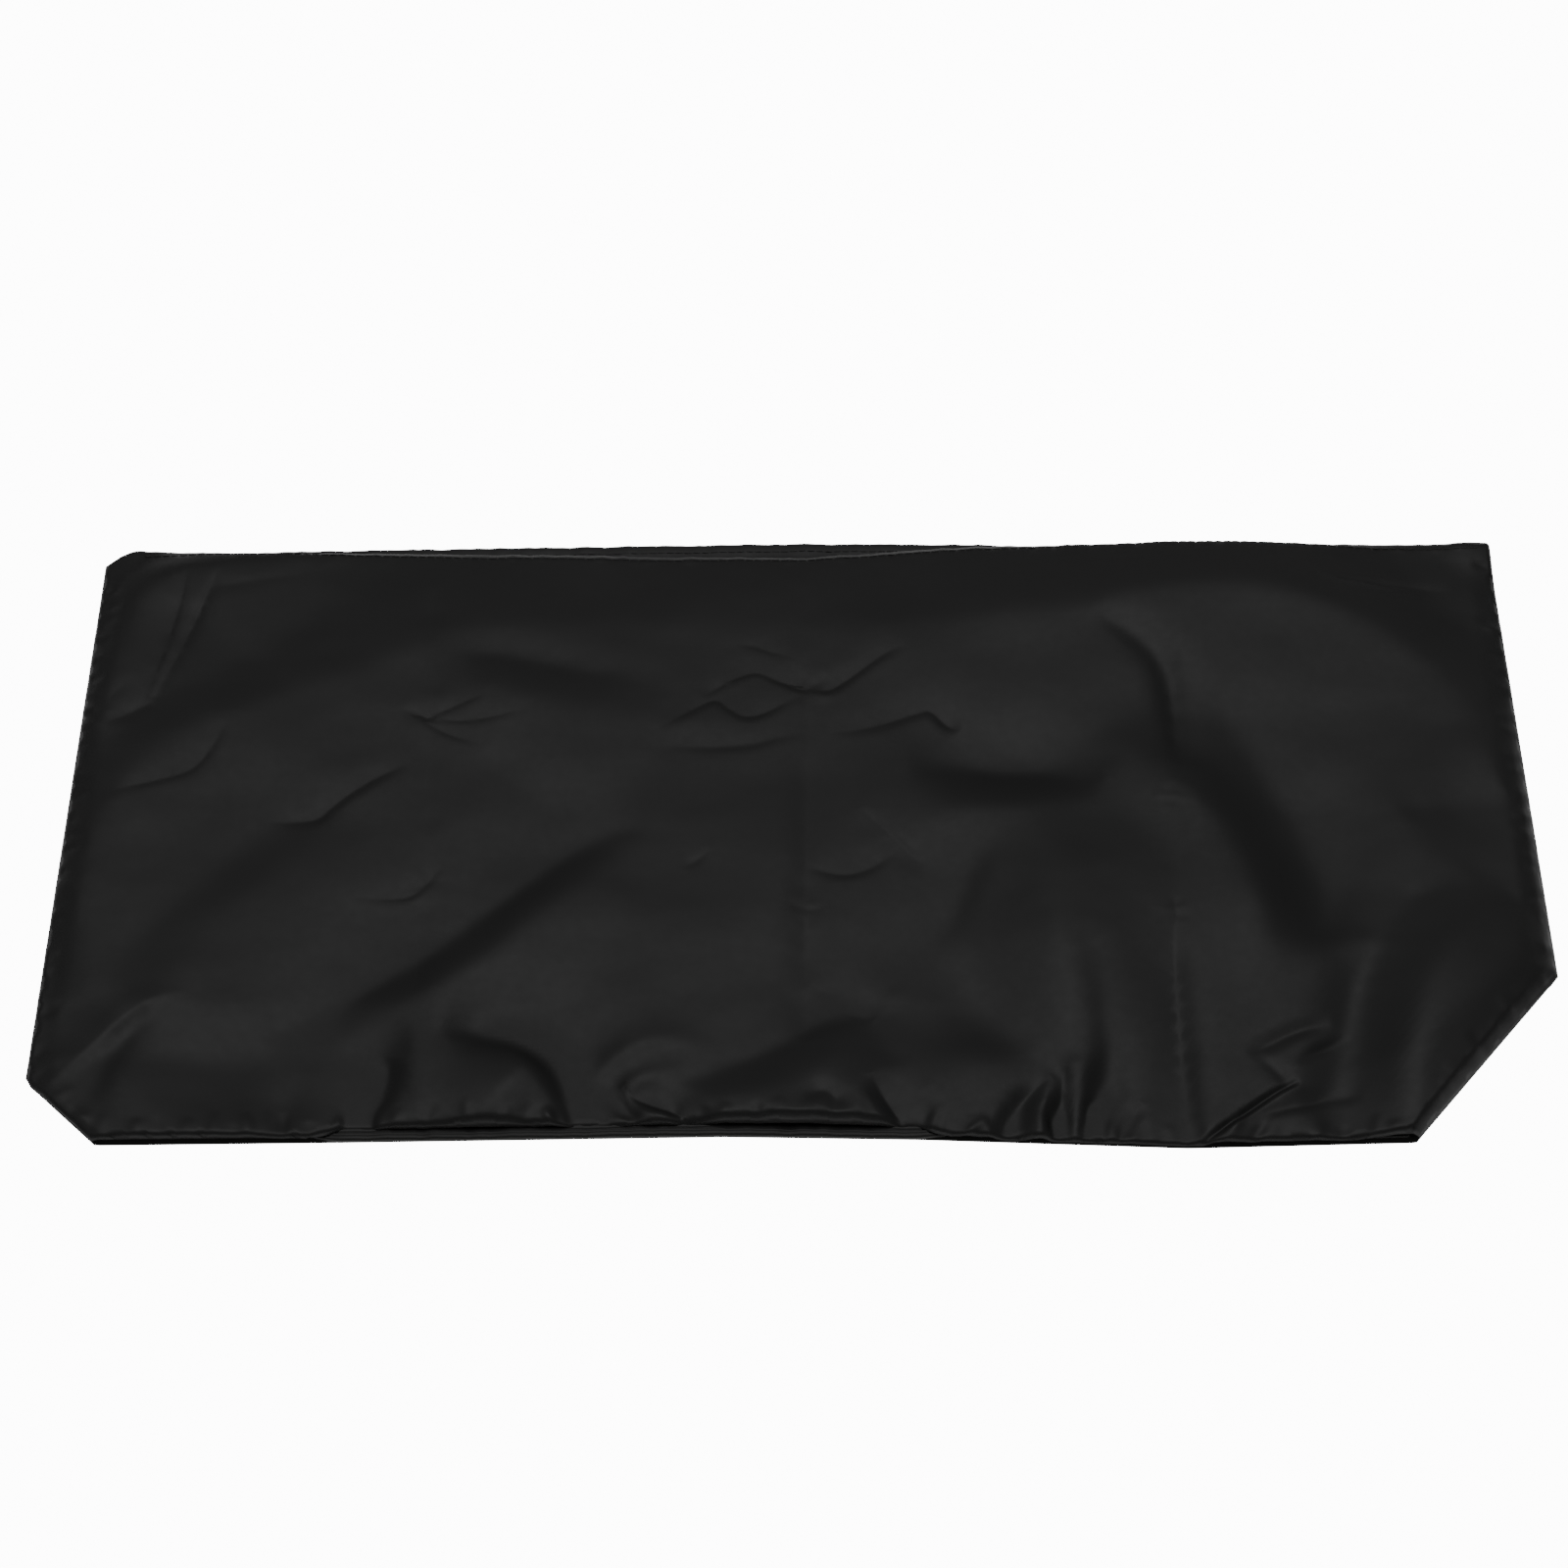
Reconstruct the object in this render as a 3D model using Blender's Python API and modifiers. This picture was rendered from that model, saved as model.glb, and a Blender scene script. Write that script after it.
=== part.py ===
"""Printer cover of black woven cloth, lying empty and collapsed on a table.

Three sewn pieces: a front panel on top, a back panel beneath it, and one long gusset strip that
joins them along the left side, the closed near end and the right side. The gusset is folded
inwards between the panels, and the mouth of the cover lies at the far end.

Metres, +Z up. The origin is the middle of the underside, +X runs along the cover's width and
+Y from the closed end towards the mouth. Tables of places on the cloth are in millimetres.
"""

from collections import namedtuple

import bmesh
import bpy
from mathutils import Vector
from mathutils.geometry import intersect_point_line

MM = 0.001

# The cover as it lies
WIDTH = 457 * MM
DEPTH = 241 * MM
CLOTH = 1.0 * MM
GAP = 0.3 * MM
PRINTER_DEPTH = 420 * MM

# The stack of sheets, from the table up
BACK_TOP = CLOTH
GUSSET_BOTTOM = BACK_TOP + GAP
GUSSET_SLOT = 0.6 * MM
GUSSET_TOP = GUSSET_BOTTOM + 2 * CLOTH + GUSSET_SLOT
FRONT_TOP = GUSSET_TOP + GAP + CLOTH + 0.1 * MM
RIM_TOP = BACK_TOP + GAP + CLOTH + 0.1 * MM

# The front panel lies inside the back panel's outline, and rolls down to it over the seam
FRONT_INSET = 1.0 * MM
ROLL_WIDTH = 7 * MM
GUSSET_INSET = 9 * MM
GUSSET_HEM_INSET = 9 * MM

# Corners that are turned under: how far each runs across and along the cover
Corner = namedtuple("Corner", "across along")
NEAR_LEFT = Corner(22 * MM, 22 * MM)
NEAR_RIGHT = Corner(48 * MM, 60 * MM)
FAR_LEFT = Corner(11 * MM, 6 * MM)

# Courses of the near and far edges, in millimetres: x, y
NEAR_EDGE = [(-207, -119.5), (-133, -118.5), (-22, -116.5), (35, -117.5), (113, -120.5), (181, -118.5)]
FAR_EDGE = [(-218, 115.5), (-141, 117.5), (0, 120.5), (60, 120), (130, 118), (228, 117.5)]

# How far the front panel's edges lie back from those courses, in millimetres: x, setback
NEAR_SETBACK = [(-143, 0), (-134, 3), (34, 3), (44, 0)]
FAR_SETBACK = [(-228, 0), (-141, 3), (0, 8), (60, 2.5), (120, 0)]

# Where the gusset shows in front of the front panel, across the cover
SHOWN_FROM = -130 * MM
SHOWN_MIDDLE = NEAR_EDGE[2][0] * MM
SHOWN_TO = 30 * MM
SHOWN_INSET = 0.8 * MM
LOWEST_X = NEAR_EDGE[4][0] * MM

# The cloth's loose body between its flat edges
MOUND = 2.5 * MM
MOUND_WIDTH = 30 * MM
SOFTENED_ABOVE = 1.0 * MM
HEM_RISE_WIDTH = 48 * MM
RIGHT_HEM_LIFT = 2.0 * MM
CORNER_LIFT = 6.0 * MM
CORNER_LIFT_REACH = 24 * MM

# Folds of the front panel in millimetres. Each has its half-widths to the left and to the right of
# its route, and the route's points: x, y and the rise there, or the dip where it is below zero.
Fold = namedtuple("Fold", "name left right route")
FOLDS = [
    Fold("crest", 30, 15, [(-210, -60, 0), (-200, -16, 3), (-187, 11, 4), (-162, 35, 5),
                           (-135, 52, 5), (-114, 65, 6), (-67, 69, 6), (42, 68, 5),
                           (77, 71, 4), (106, 79, 4), (163, 86, 3), (188, 78, 2), (208, 40, 0)]),
    Fold("dip under the crest", 14, 10, [(-113, 67, 0), (-96, 63, -3), (-74, 54, -4), (-39, 33, 0)]),
    Fold("ridge under the crest", 10, 20, [(-122, 62, 0), (-104, 52, 3), (-79, 37, 4), (-35, 16, 0)]),
    Fold("middle zigzag", 9, 9, [(-49, 31, 0), (-23, 49, 3), (3, 47, 2), (28, 64, 0)]),
    Fold("pocket", 11, 10, [(27, 9, 0), (44, 17, -4), (60, 21, -6), (75, 22, -6), (95, 12, 0)]),
    Fold("dome", 13, 22, [(30, -21, 0), (42, -7, 3), (59, -2, 4), (74, -3, 4),
                          (85, -14, 3), (93, -31, 3), (98, -55, 0)]),
    Fold("arc", 13, 13, [(43, 23, 0), (66, 25, 3), (98, 28, 4), (111, 18, 4), (121, 5, 4),
                         (130, -14, 3), (136, -36, 3), (140, -78, 0)]),
    Fold("steep dip", 10, 10, [(92, 90, 0), (101, 78, -3), (115, 50, -5), (116, 25, -4), (115, 5, 0)]),
    Fold("long dip", 17, 12, [(121, 59, 0), (130, 29, -4), (140, 2, -6), (148, -25, -6),
                              (156, -50, -5), (171, -80, 0)]),
    Fold("left dip", 10, 10, [(-174, -4, 0), (-145, 11, -4), (-128, 21, -3), (-114, 24, 0)]),
    Fold("left slope", 11, 11, [(-127, 14, 0), (-159, -8, -4), (-176, -25, -4), (-194, -69, 0)]),
    Fold("slanting dip", 11, 14, [(-38, -10, 0), (-65, -9, -4), (-83, -21, -6), (-106, -39, -6),
                                  (-128, -59, -6), (-153, -98, 0)]),
    Fold("slanting ridge", 11, 12, [(-38, -5, 0), (-56, -6, 3), (-77, -16, 4), (-128, -49, 3),
                                    (-146, -68, 0)]),
    Fold("corner ridge", 10, 10, [(-217, -101, 0), (-209, -87, 3), (-199, -76, 4), (-173, -68, 0)]),
    Fold("hooked dip", 9, 9, [(-107, -83, 0), (-84, -88, -4), (-74, -99, -5), (-66, -120, 0)]),
    Fold("loop", 9, 9, [(-62, -112, 0), (-48, -95, 4), (-32, -95, 3), (-23, -98, 0)]),
    Fold("peak", 9, 9, [(-20, -115, 0), (-5, -100, -3), (12, -86, -5), (24, -98, -4), (35, -119, 0)]),
    Fold("saddle", 9, 9, [(-8, -77, 0), (5, -72, 4), (18, -80, 4), (42, -69, 0)]),
    Fold("inner streak", 9, 9, [(78, -21, 0), (80, -53, 3), (82, -82, 3), (83, -117, 0)]),
    Fold("outer streak", 9, 9, [(97, -29, 0), (98, -60, 3), (99, -89, 3), (99, -119, 0)]),
    Fold("right ridge", 10, 10, [(131, -100, 0), (142, -91, 3), (154, -83, 4), (165, -77, 0)]),
    Fold("right hollow", 14, 18, [(186, -29, 0), (179, -57, -3), (171, -85, -4), (162, -108, 0)]),
]

BLACK_CLOTH = (0.022, 0.022, 0.024, 1.0)
COLLECTION = "printer_cover"


def remove_all():
    for obj in list(bpy.data.objects):
        bpy.data.objects.remove(obj, do_unlink=True)


def cloth_material(name):
    material = bpy.data.materials.new(name)
    material.use_nodes = True
    shader = material.node_tree.nodes["Principled BSDF"]
    shader.inputs["Base Color"].default_value = BLACK_CLOTH
    shader.inputs["Roughness"].default_value = 0.5
    shader.inputs["Metallic"].default_value = 0.0
    material.diffuse_color = BLACK_CLOTH
    return material


def smooth_step(value):
    """0 below 0, 1 above 1, and an even curve between."""
    value = min(max(value, 0.0), 1.0)
    return value * value * (3.0 - 2.0 * value)


def along_table(table, x):
    """The second column of a table in millimetres at x, between its rows, in metres."""
    x = x / MM
    if x <= table[0][0]:
        return table[0][1] * MM
    for (x0, y0), (x1, y1) in zip(table, table[1:]):
        if x <= x1:
            return (y0 + (y1 - y0) * (x - x0) / (x1 - x0)) * MM
    return table[-1][1] * MM


def side_limits(along, inset):
    """The cover's left and right limits at this distance from its near edge."""
    left = -WIDTH / 2 + inset
    right = WIDTH / 2 - inset
    left += NEAR_LEFT.across * max(0.0, 1.0 - along / NEAR_LEFT.along)
    right -= NEAR_RIGHT.across * max(0.0, 1.0 - along / NEAR_RIGHT.along)
    left += FAR_LEFT.across * max(0.0, 1.0 - (DEPTH - along) / FAR_LEFT.along)
    return left, right


def row_places(left_rows, right_rows, middle_rows):
    """Distances of a sheet's rows from the near edge, with a row at each corner's end."""
    stops = [0.0, NEAR_LEFT.along, NEAR_RIGHT.along, DEPTH - FAR_LEFT.along, DEPTH]
    counts = [left_rows, right_rows, middle_rows, 1]
    places = [0.0]
    for start, end, count in zip(stops, stops[1:], counts):
        places += [start + (end - start) * (step + 1) / count for step in range(count)]
    return places


def distance_to_seam(x, y):
    """Distance inwards from the two sides and the two turned-under near corners."""
    near = along_table(NEAR_EDGE, x)
    inwards = [x + WIDTH / 2, WIDTH / 2 - x]
    for corner, across in ((NEAR_LEFT, x + WIDTH / 2), (NEAR_RIGHT, WIDTH / 2 - x)):
        normal = Vector((corner.along, corner.across)).normalized()
        inwards.append(normal.dot(Vector((across - corner.across, y - near))))
    return min(inwards)


def fold_rise(fold, x, y):
    """What one fold adds at a point: its rise, falling off to either side of its route."""
    point = Vector((x, y, 0.0))
    nearest = 2 * WIDTH
    for (x0, y0, rise0), (x1, y1, rise1) in zip(fold.route, fold.route[1:]):
        start = Vector((x0, y0, 0.0)) * MM
        end = Vector((x1, y1, 0.0)) * MM
        _, share = intersect_point_line(point, start, end)
        share = min(max(share, 0.0), 1.0)
        offset = point - start.lerp(end, share)
        if offset.length < nearest:
            nearest = offset.length
            rise = (rise0 + (rise1 - rise0) * share) * MM
            width = (fold.left if (end - start).cross(offset).z > 0.0 else fold.right) * MM
    return rise / (1.0 + (nearest / width) ** 2) ** 2


def front_height(x, y):
    """Height of the front panel's upper side above the table."""
    near_edge = along_table(NEAR_EDGE, x)
    far_edge = along_table(FAR_EDGE, x) - along_table(FAR_SETBACK, x)
    held_up = along_table(NEAR_SETBACK, x) / (NEAR_SETBACK[1][1] * MM)
    seam = distance_to_seam(x, y)
    from_near = y - near_edge
    rolled = min(seam, from_near + held_up * ROLL_WIDTH) - FRONT_INSET
    height = RIM_TOP + (FRONT_TOP - RIM_TOP) * smooth_step(rolled / ROLL_WIDTH)
    flatness = smooth_step((min(seam, from_near) - 3 * MM) / MOUND_WIDTH)
    flatness *= smooth_step((far_edge - y) / HEM_RISE_WIDTH)
    relief = MOUND + sum(fold_rise(fold, x, y) for fold in FOLDS)
    height += max(relief, 0.0) * flatness
    hem = smooth_step(1.0 - (far_edge - y) / HEM_RISE_WIDTH)
    height += RIGHT_HEM_LIFT * hem * smooth_step((x - 40 * MM) / (80 * MM)) * smooth_step(seam / (20 * MM))
    corner = (Vector((x, y)) - Vector((WIDTH / 2, far_edge))).length
    height += CORNER_LIFT * smooth_step(1.0 - corner / CORNER_LIFT_REACH)
    return height


def new_object(name, mesh, collection):
    obj = bpy.data.objects.new(name, mesh)
    collection.objects.link(obj)
    mesh.materials.append(cloth_material(name + "_cloth"))
    return obj


def cloth_sheet(name, collection, columns, rows, place):
    """A grid whose points go where place(share across, row distance) says, given its thickness."""
    bm = bmesh.new()
    bmesh.ops.create_grid(bm, x_segments=columns, y_segments=len(rows) - 1, size=0.5)
    for vert in bm.verts:
        row = rows[round((vert.co.y + 0.5) * (len(rows) - 1))]
        vert.co = place(vert.co.x + 0.5, row)
    raised = [vert for vert in bm.verts if vert.co.z > FRONT_TOP + SOFTENED_ABOVE]
    bmesh.ops.smooth_vert(bm, verts=raised, factor=0.5, use_axis_z=True)
    mesh = bpy.data.meshes.new(name)
    bm.to_mesh(mesh)
    bm.free()
    mesh.shade_smooth()
    obj = new_object(name, mesh, collection)
    thickness = obj.modifiers.new("cloth thickness", "SOLIDIFY")
    thickness.thickness = CLOTH
    thickness.offset = -1.0
    return obj


def make_front_panel(collection):
    def place(share, along):
        left, right = side_limits(along, FRONT_INSET)
        x = left + (right - left) * share
        near = along_table(NEAR_EDGE, x) + along_table(NEAR_SETBACK, x) + FRONT_INSET
        far = along_table(FAR_EDGE, x) - along_table(FAR_SETBACK, x)
        y = near + (far - near) * along / DEPTH
        return Vector((x, y, front_height(x, y)))

    return cloth_sheet("front_panel", collection, 64, row_places(3, 5, 22), place)


def make_back_panel(collection):
    def place(share, along):
        left, right = side_limits(along, 0.0)
        x = left + (right - left) * share
        near = along_table(NEAR_EDGE, x)
        far = along_table(FAR_EDGE, x)
        return Vector((x, near + (far - near) * along / DEPTH, BACK_TOP))

    return cloth_sheet("back_panel", collection, 24, row_places(1, 2, 4), place)


def gusset_outline(inset, inner, past_hem=0.0, shown_inset=SHOWN_INSET):
    """The strip's outline seen from above: round its two sides and near end, then back inside."""
    left = -WIDTH / 2 + inset
    right = WIDTH / 2 - inset
    mouth = along_table(FAR_EDGE, left) - GUSSET_HEM_INSET + past_hem
    near_end = [(left + NEAR_LEFT.across, inset), (SHOWN_FROM, inset)]
    near_end += [(x, shown_inset) for x in (SHOWN_FROM, SHOWN_MIDDLE, SHOWN_TO)]
    near_end += [(SHOWN_TO, inset), (LOWEST_X, inset), (right - NEAR_RIGHT.across, inset)]
    points = [(left, mouth), (left, -DEPTH / 2 + NEAR_LEFT.along + inset)]
    points += [(x, along_table(NEAR_EDGE, x) + setback) for x, setback in near_end]
    points += [(right, -DEPTH / 2 + NEAR_RIGHT.along + inset), (right, mouth)]
    reach = PRINTER_DEPTH / 2 - inner
    notch = WIDTH / 2 - reach
    apex = -DEPTH / 2 + reach
    return points + [(notch, mouth), (notch, apex), (-notch, apex), (-notch, mouth)]


def flat_block(name, points, bottom, top):
    """A closed block between two heights over an outline."""
    bm = bmesh.new()
    face = bm.faces.new([bm.verts.new((x, y, bottom)) for x, y in points])
    raised = bmesh.ops.extrude_face_region(bm, geom=[face])["geom"]
    bmesh.ops.translate(
        bm,
        verts=[item for item in raised if isinstance(item, bmesh.types.BMVert)],
        vec=(0.0, 0.0, top - bottom),
    )
    bmesh.ops.recalc_face_normals(bm, faces=bm.faces)
    mesh = bpy.data.meshes.new(name)
    bm.to_mesh(mesh)
    bm.free()
    return mesh


def make_gusset(collection, cutters):
    """Two layers joined along their inner edge: a block with a thin slot cut in from outside."""
    outer = gusset_outline(GUSSET_INSET, 0.0)
    gusset = new_object("gusset", flat_block("gusset", outer, GUSSET_BOTTOM, GUSSET_TOP), collection)
    past = 3 * MM
    opened = gusset_outline(GUSSET_INSET - past, CLOTH, past, SHOWN_INSET - past)
    low = GUSSET_BOTTOM + CLOTH
    slot = bpy.data.objects.new("gusset_slot", flat_block("gusset_slot", opened, low, low + GUSSET_SLOT))
    cutters.objects.link(slot)
    slot.hide_render = True
    slot.display_type = "WIRE"
    cut = gusset.modifiers.new("open between the layers", "BOOLEAN")
    cut.operation = "DIFFERENCE"
    cut.object = slot
    return gusset


def main():
    remove_all()
    parts = bpy.data.collections.new(COLLECTION)
    cutters = bpy.data.collections.new("cutters")
    bpy.context.scene.collection.children.link(parts)
    bpy.context.scene.collection.children.link(cutters)
    make_back_panel(parts)
    make_gusset(parts, cutters)
    make_front_panel(parts)


main()
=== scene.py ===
"""The looks of a printer cover of black coated cloth that lies empty and collapsed on a table.

The cover is cut from three pieces: a front panel, a back panel, and one long gusset strip that is
sewn between them round the two sides and the closed near end. Its hemmed mouth is at the far end.

+X runs along the cover's width, +Y from the closed end towards the mouth, and +Z up. The tables
and the shaping below are in millimetres, and MM turns them into metres as points are placed.
"""

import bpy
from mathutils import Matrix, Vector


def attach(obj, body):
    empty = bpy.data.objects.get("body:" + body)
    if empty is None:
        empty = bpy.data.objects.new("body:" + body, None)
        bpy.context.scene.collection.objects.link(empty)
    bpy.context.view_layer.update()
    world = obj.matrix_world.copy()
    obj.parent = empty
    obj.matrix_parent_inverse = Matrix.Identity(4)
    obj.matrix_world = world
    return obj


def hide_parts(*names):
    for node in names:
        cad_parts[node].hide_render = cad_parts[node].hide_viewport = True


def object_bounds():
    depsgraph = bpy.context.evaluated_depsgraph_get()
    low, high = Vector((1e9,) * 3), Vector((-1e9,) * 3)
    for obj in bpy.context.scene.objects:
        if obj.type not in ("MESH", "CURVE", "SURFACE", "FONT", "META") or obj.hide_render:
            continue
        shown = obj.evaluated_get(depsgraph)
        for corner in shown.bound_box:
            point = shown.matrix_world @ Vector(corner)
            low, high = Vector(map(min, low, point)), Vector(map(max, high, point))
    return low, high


bl_info = {
    "name": "Printer Cover",
    "version": (1, 0, 0),
    "blender": (4, 5, 0),
    "location": "View3D > Sidebar > Printer Cover",
    "description": "A black cloth printer cover laid out flat, built on its packed model",
    "category": "Add Mesh",
}

import math
import random
from collections import namedtuple

import bmesh
import bpy
import numpy as np
from bpy.props import FloatProperty, FloatVectorProperty, PointerProperty
from mathutils import Vector, noise

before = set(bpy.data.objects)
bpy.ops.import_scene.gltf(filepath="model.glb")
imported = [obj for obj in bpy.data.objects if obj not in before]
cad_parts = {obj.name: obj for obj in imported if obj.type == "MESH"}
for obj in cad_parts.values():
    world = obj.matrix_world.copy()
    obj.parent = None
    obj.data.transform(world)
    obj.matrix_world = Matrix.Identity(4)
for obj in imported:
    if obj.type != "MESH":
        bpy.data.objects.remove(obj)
CAD_LOW, CAD_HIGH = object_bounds()

MM = 0.001
BODY = "root"

WIDTH = (CAD_HIGH.x - CAD_LOW.x) / MM
HALF = WIDTH / 2
DEPTH = (CAD_HIGH.y - CAD_LOW.y) / MM

# Corners that are turned under: how far each runs across and along the cover
Corner = namedtuple("Corner", "across along")
NEAR_LEFT = Corner(22, 22)
NEAR_RIGHT = Corner(48, 60)
FAR_LEFT = Corner(11, 6)

# Courses of the near and far edges: x, y
NEAR_EDGE = [(-207, -119.5), (-133, -118.5), (-22, -116.5), (35, -117.5), (113, -120.5), (181, -118.5)]
FAR_EDGE = [(-218, 115.5), (-141, 117.5), (0, 120.5), (60, 120), (130, 118), (228, 117.5)]

# How far the front panel's edges lie back from those courses: x, setback
HELD_SETBACK = 3
NEAR_SETBACK = [(-143, 0), (-134, HELD_SETBACK), (34, HELD_SETBACK), (44, 0)]
FAR_SETBACK = [(-228, 0), (-141, 3), (0, 8), (60, 2.5), (120, 0)]

# How far inside the outline the panels end
FRONT_INSET = 0.3
BACK_INSET = 0.9

# Level of the front panel's upper side, the lowest that its folds reach, and how softly they do so
FRONT_TOP = 3.2
LOWEST = 2.9
LOWEST_SOFTNESS = 0.2

# The front panel dips towards its sides and rises towards its seams
SIDE_DROP = 1.1
SEAM_RISE = 0.9
SEAM_RISE_REACH = 30

# Where its folds fade out before an edge: the distance from it and the width of the fade. Most edges
# have the first, and the near edge has the second, or the third where the gusset holds it up.
Fade = namedtuple("Fade", "start width")
EDGE_FADE = Fade(-1, 5)
LOOSE_FADE = Fade(-3, 5)
HELD_FADE = Fade(2, 3.6)

# Where its edges turn down to the seams and at the hem: the width and the drop
Turn = namedtuple("Turn", "width drop")
SEAM_TURN = Turn(1.3, 1.1)
HEM_TURN = Turn(2.6, 1.0)

# The right of its hem lies higher, and so does its far right corner
RIGHT_HEM_LIFT = 1.2
RIGHT_HEM_REACH = 40
CORNER_LIFT = 2.4
CORNER_LIFT_REACH = 20

# Columns and rows of the pieces' grids
FRONT_GRID = (136, 72)
BACK_GRID = (230, 60)
NEAR_RUN_GRID = (260, 70)
SIDE_RUN_GRID = (24, 40)

# The front panel's grid is cut finer along its folds in three rounds, each closer to them. The first
# takes in the broad folds less round than the first value, and the last only the sharpest creases.
BROAD_ROUND = 2
SHARP_ROUND = 0.45
FINE_REACH = 2.8
FINER_REACH = 1.0
FINEST_REACH = 0.6

# The front panel's unevenness fades out this close to its seams, and its coating is worn this far
# from the packing creases
CALM_REACH = 12
WORN_REACH = 1.2

# The back panel's level, its deepest dip, and the steps up to its doubled hem and to its seams
BACK_LEVEL = 0.55
BACK_DIP = 0.35
BACK_HEM_STEP = 0.45
BACK_SEAM_STEP = 0.5
BACK_SEAM_REACH = 3

# The gusset's cloth is drawn thinner, so that its layers lie clear of each other. Its runs slope in
# at their ends, because its corners are folded away. Where the front panel covers its near run, that
# lies farther back and lower, and where it shows, it bulges up at most this far.
GUSSET_CLOTH = 0.3
GUSSET_SLOPE = math.tan(math.radians(11))
COVERED_SETBACK = 1.6
COVERED_DROP = 0.8
BULGE_LIMIT = 0.25

# The rows of stitches: how far inside the hem's inner fold they run, where they start and end from
# the sides, and the pitch in stitch lengths
STITCH_INSIDE = 0.8
ROW_START = 13
ROW_END = 6
STITCH_PITCH = 1.12

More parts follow.
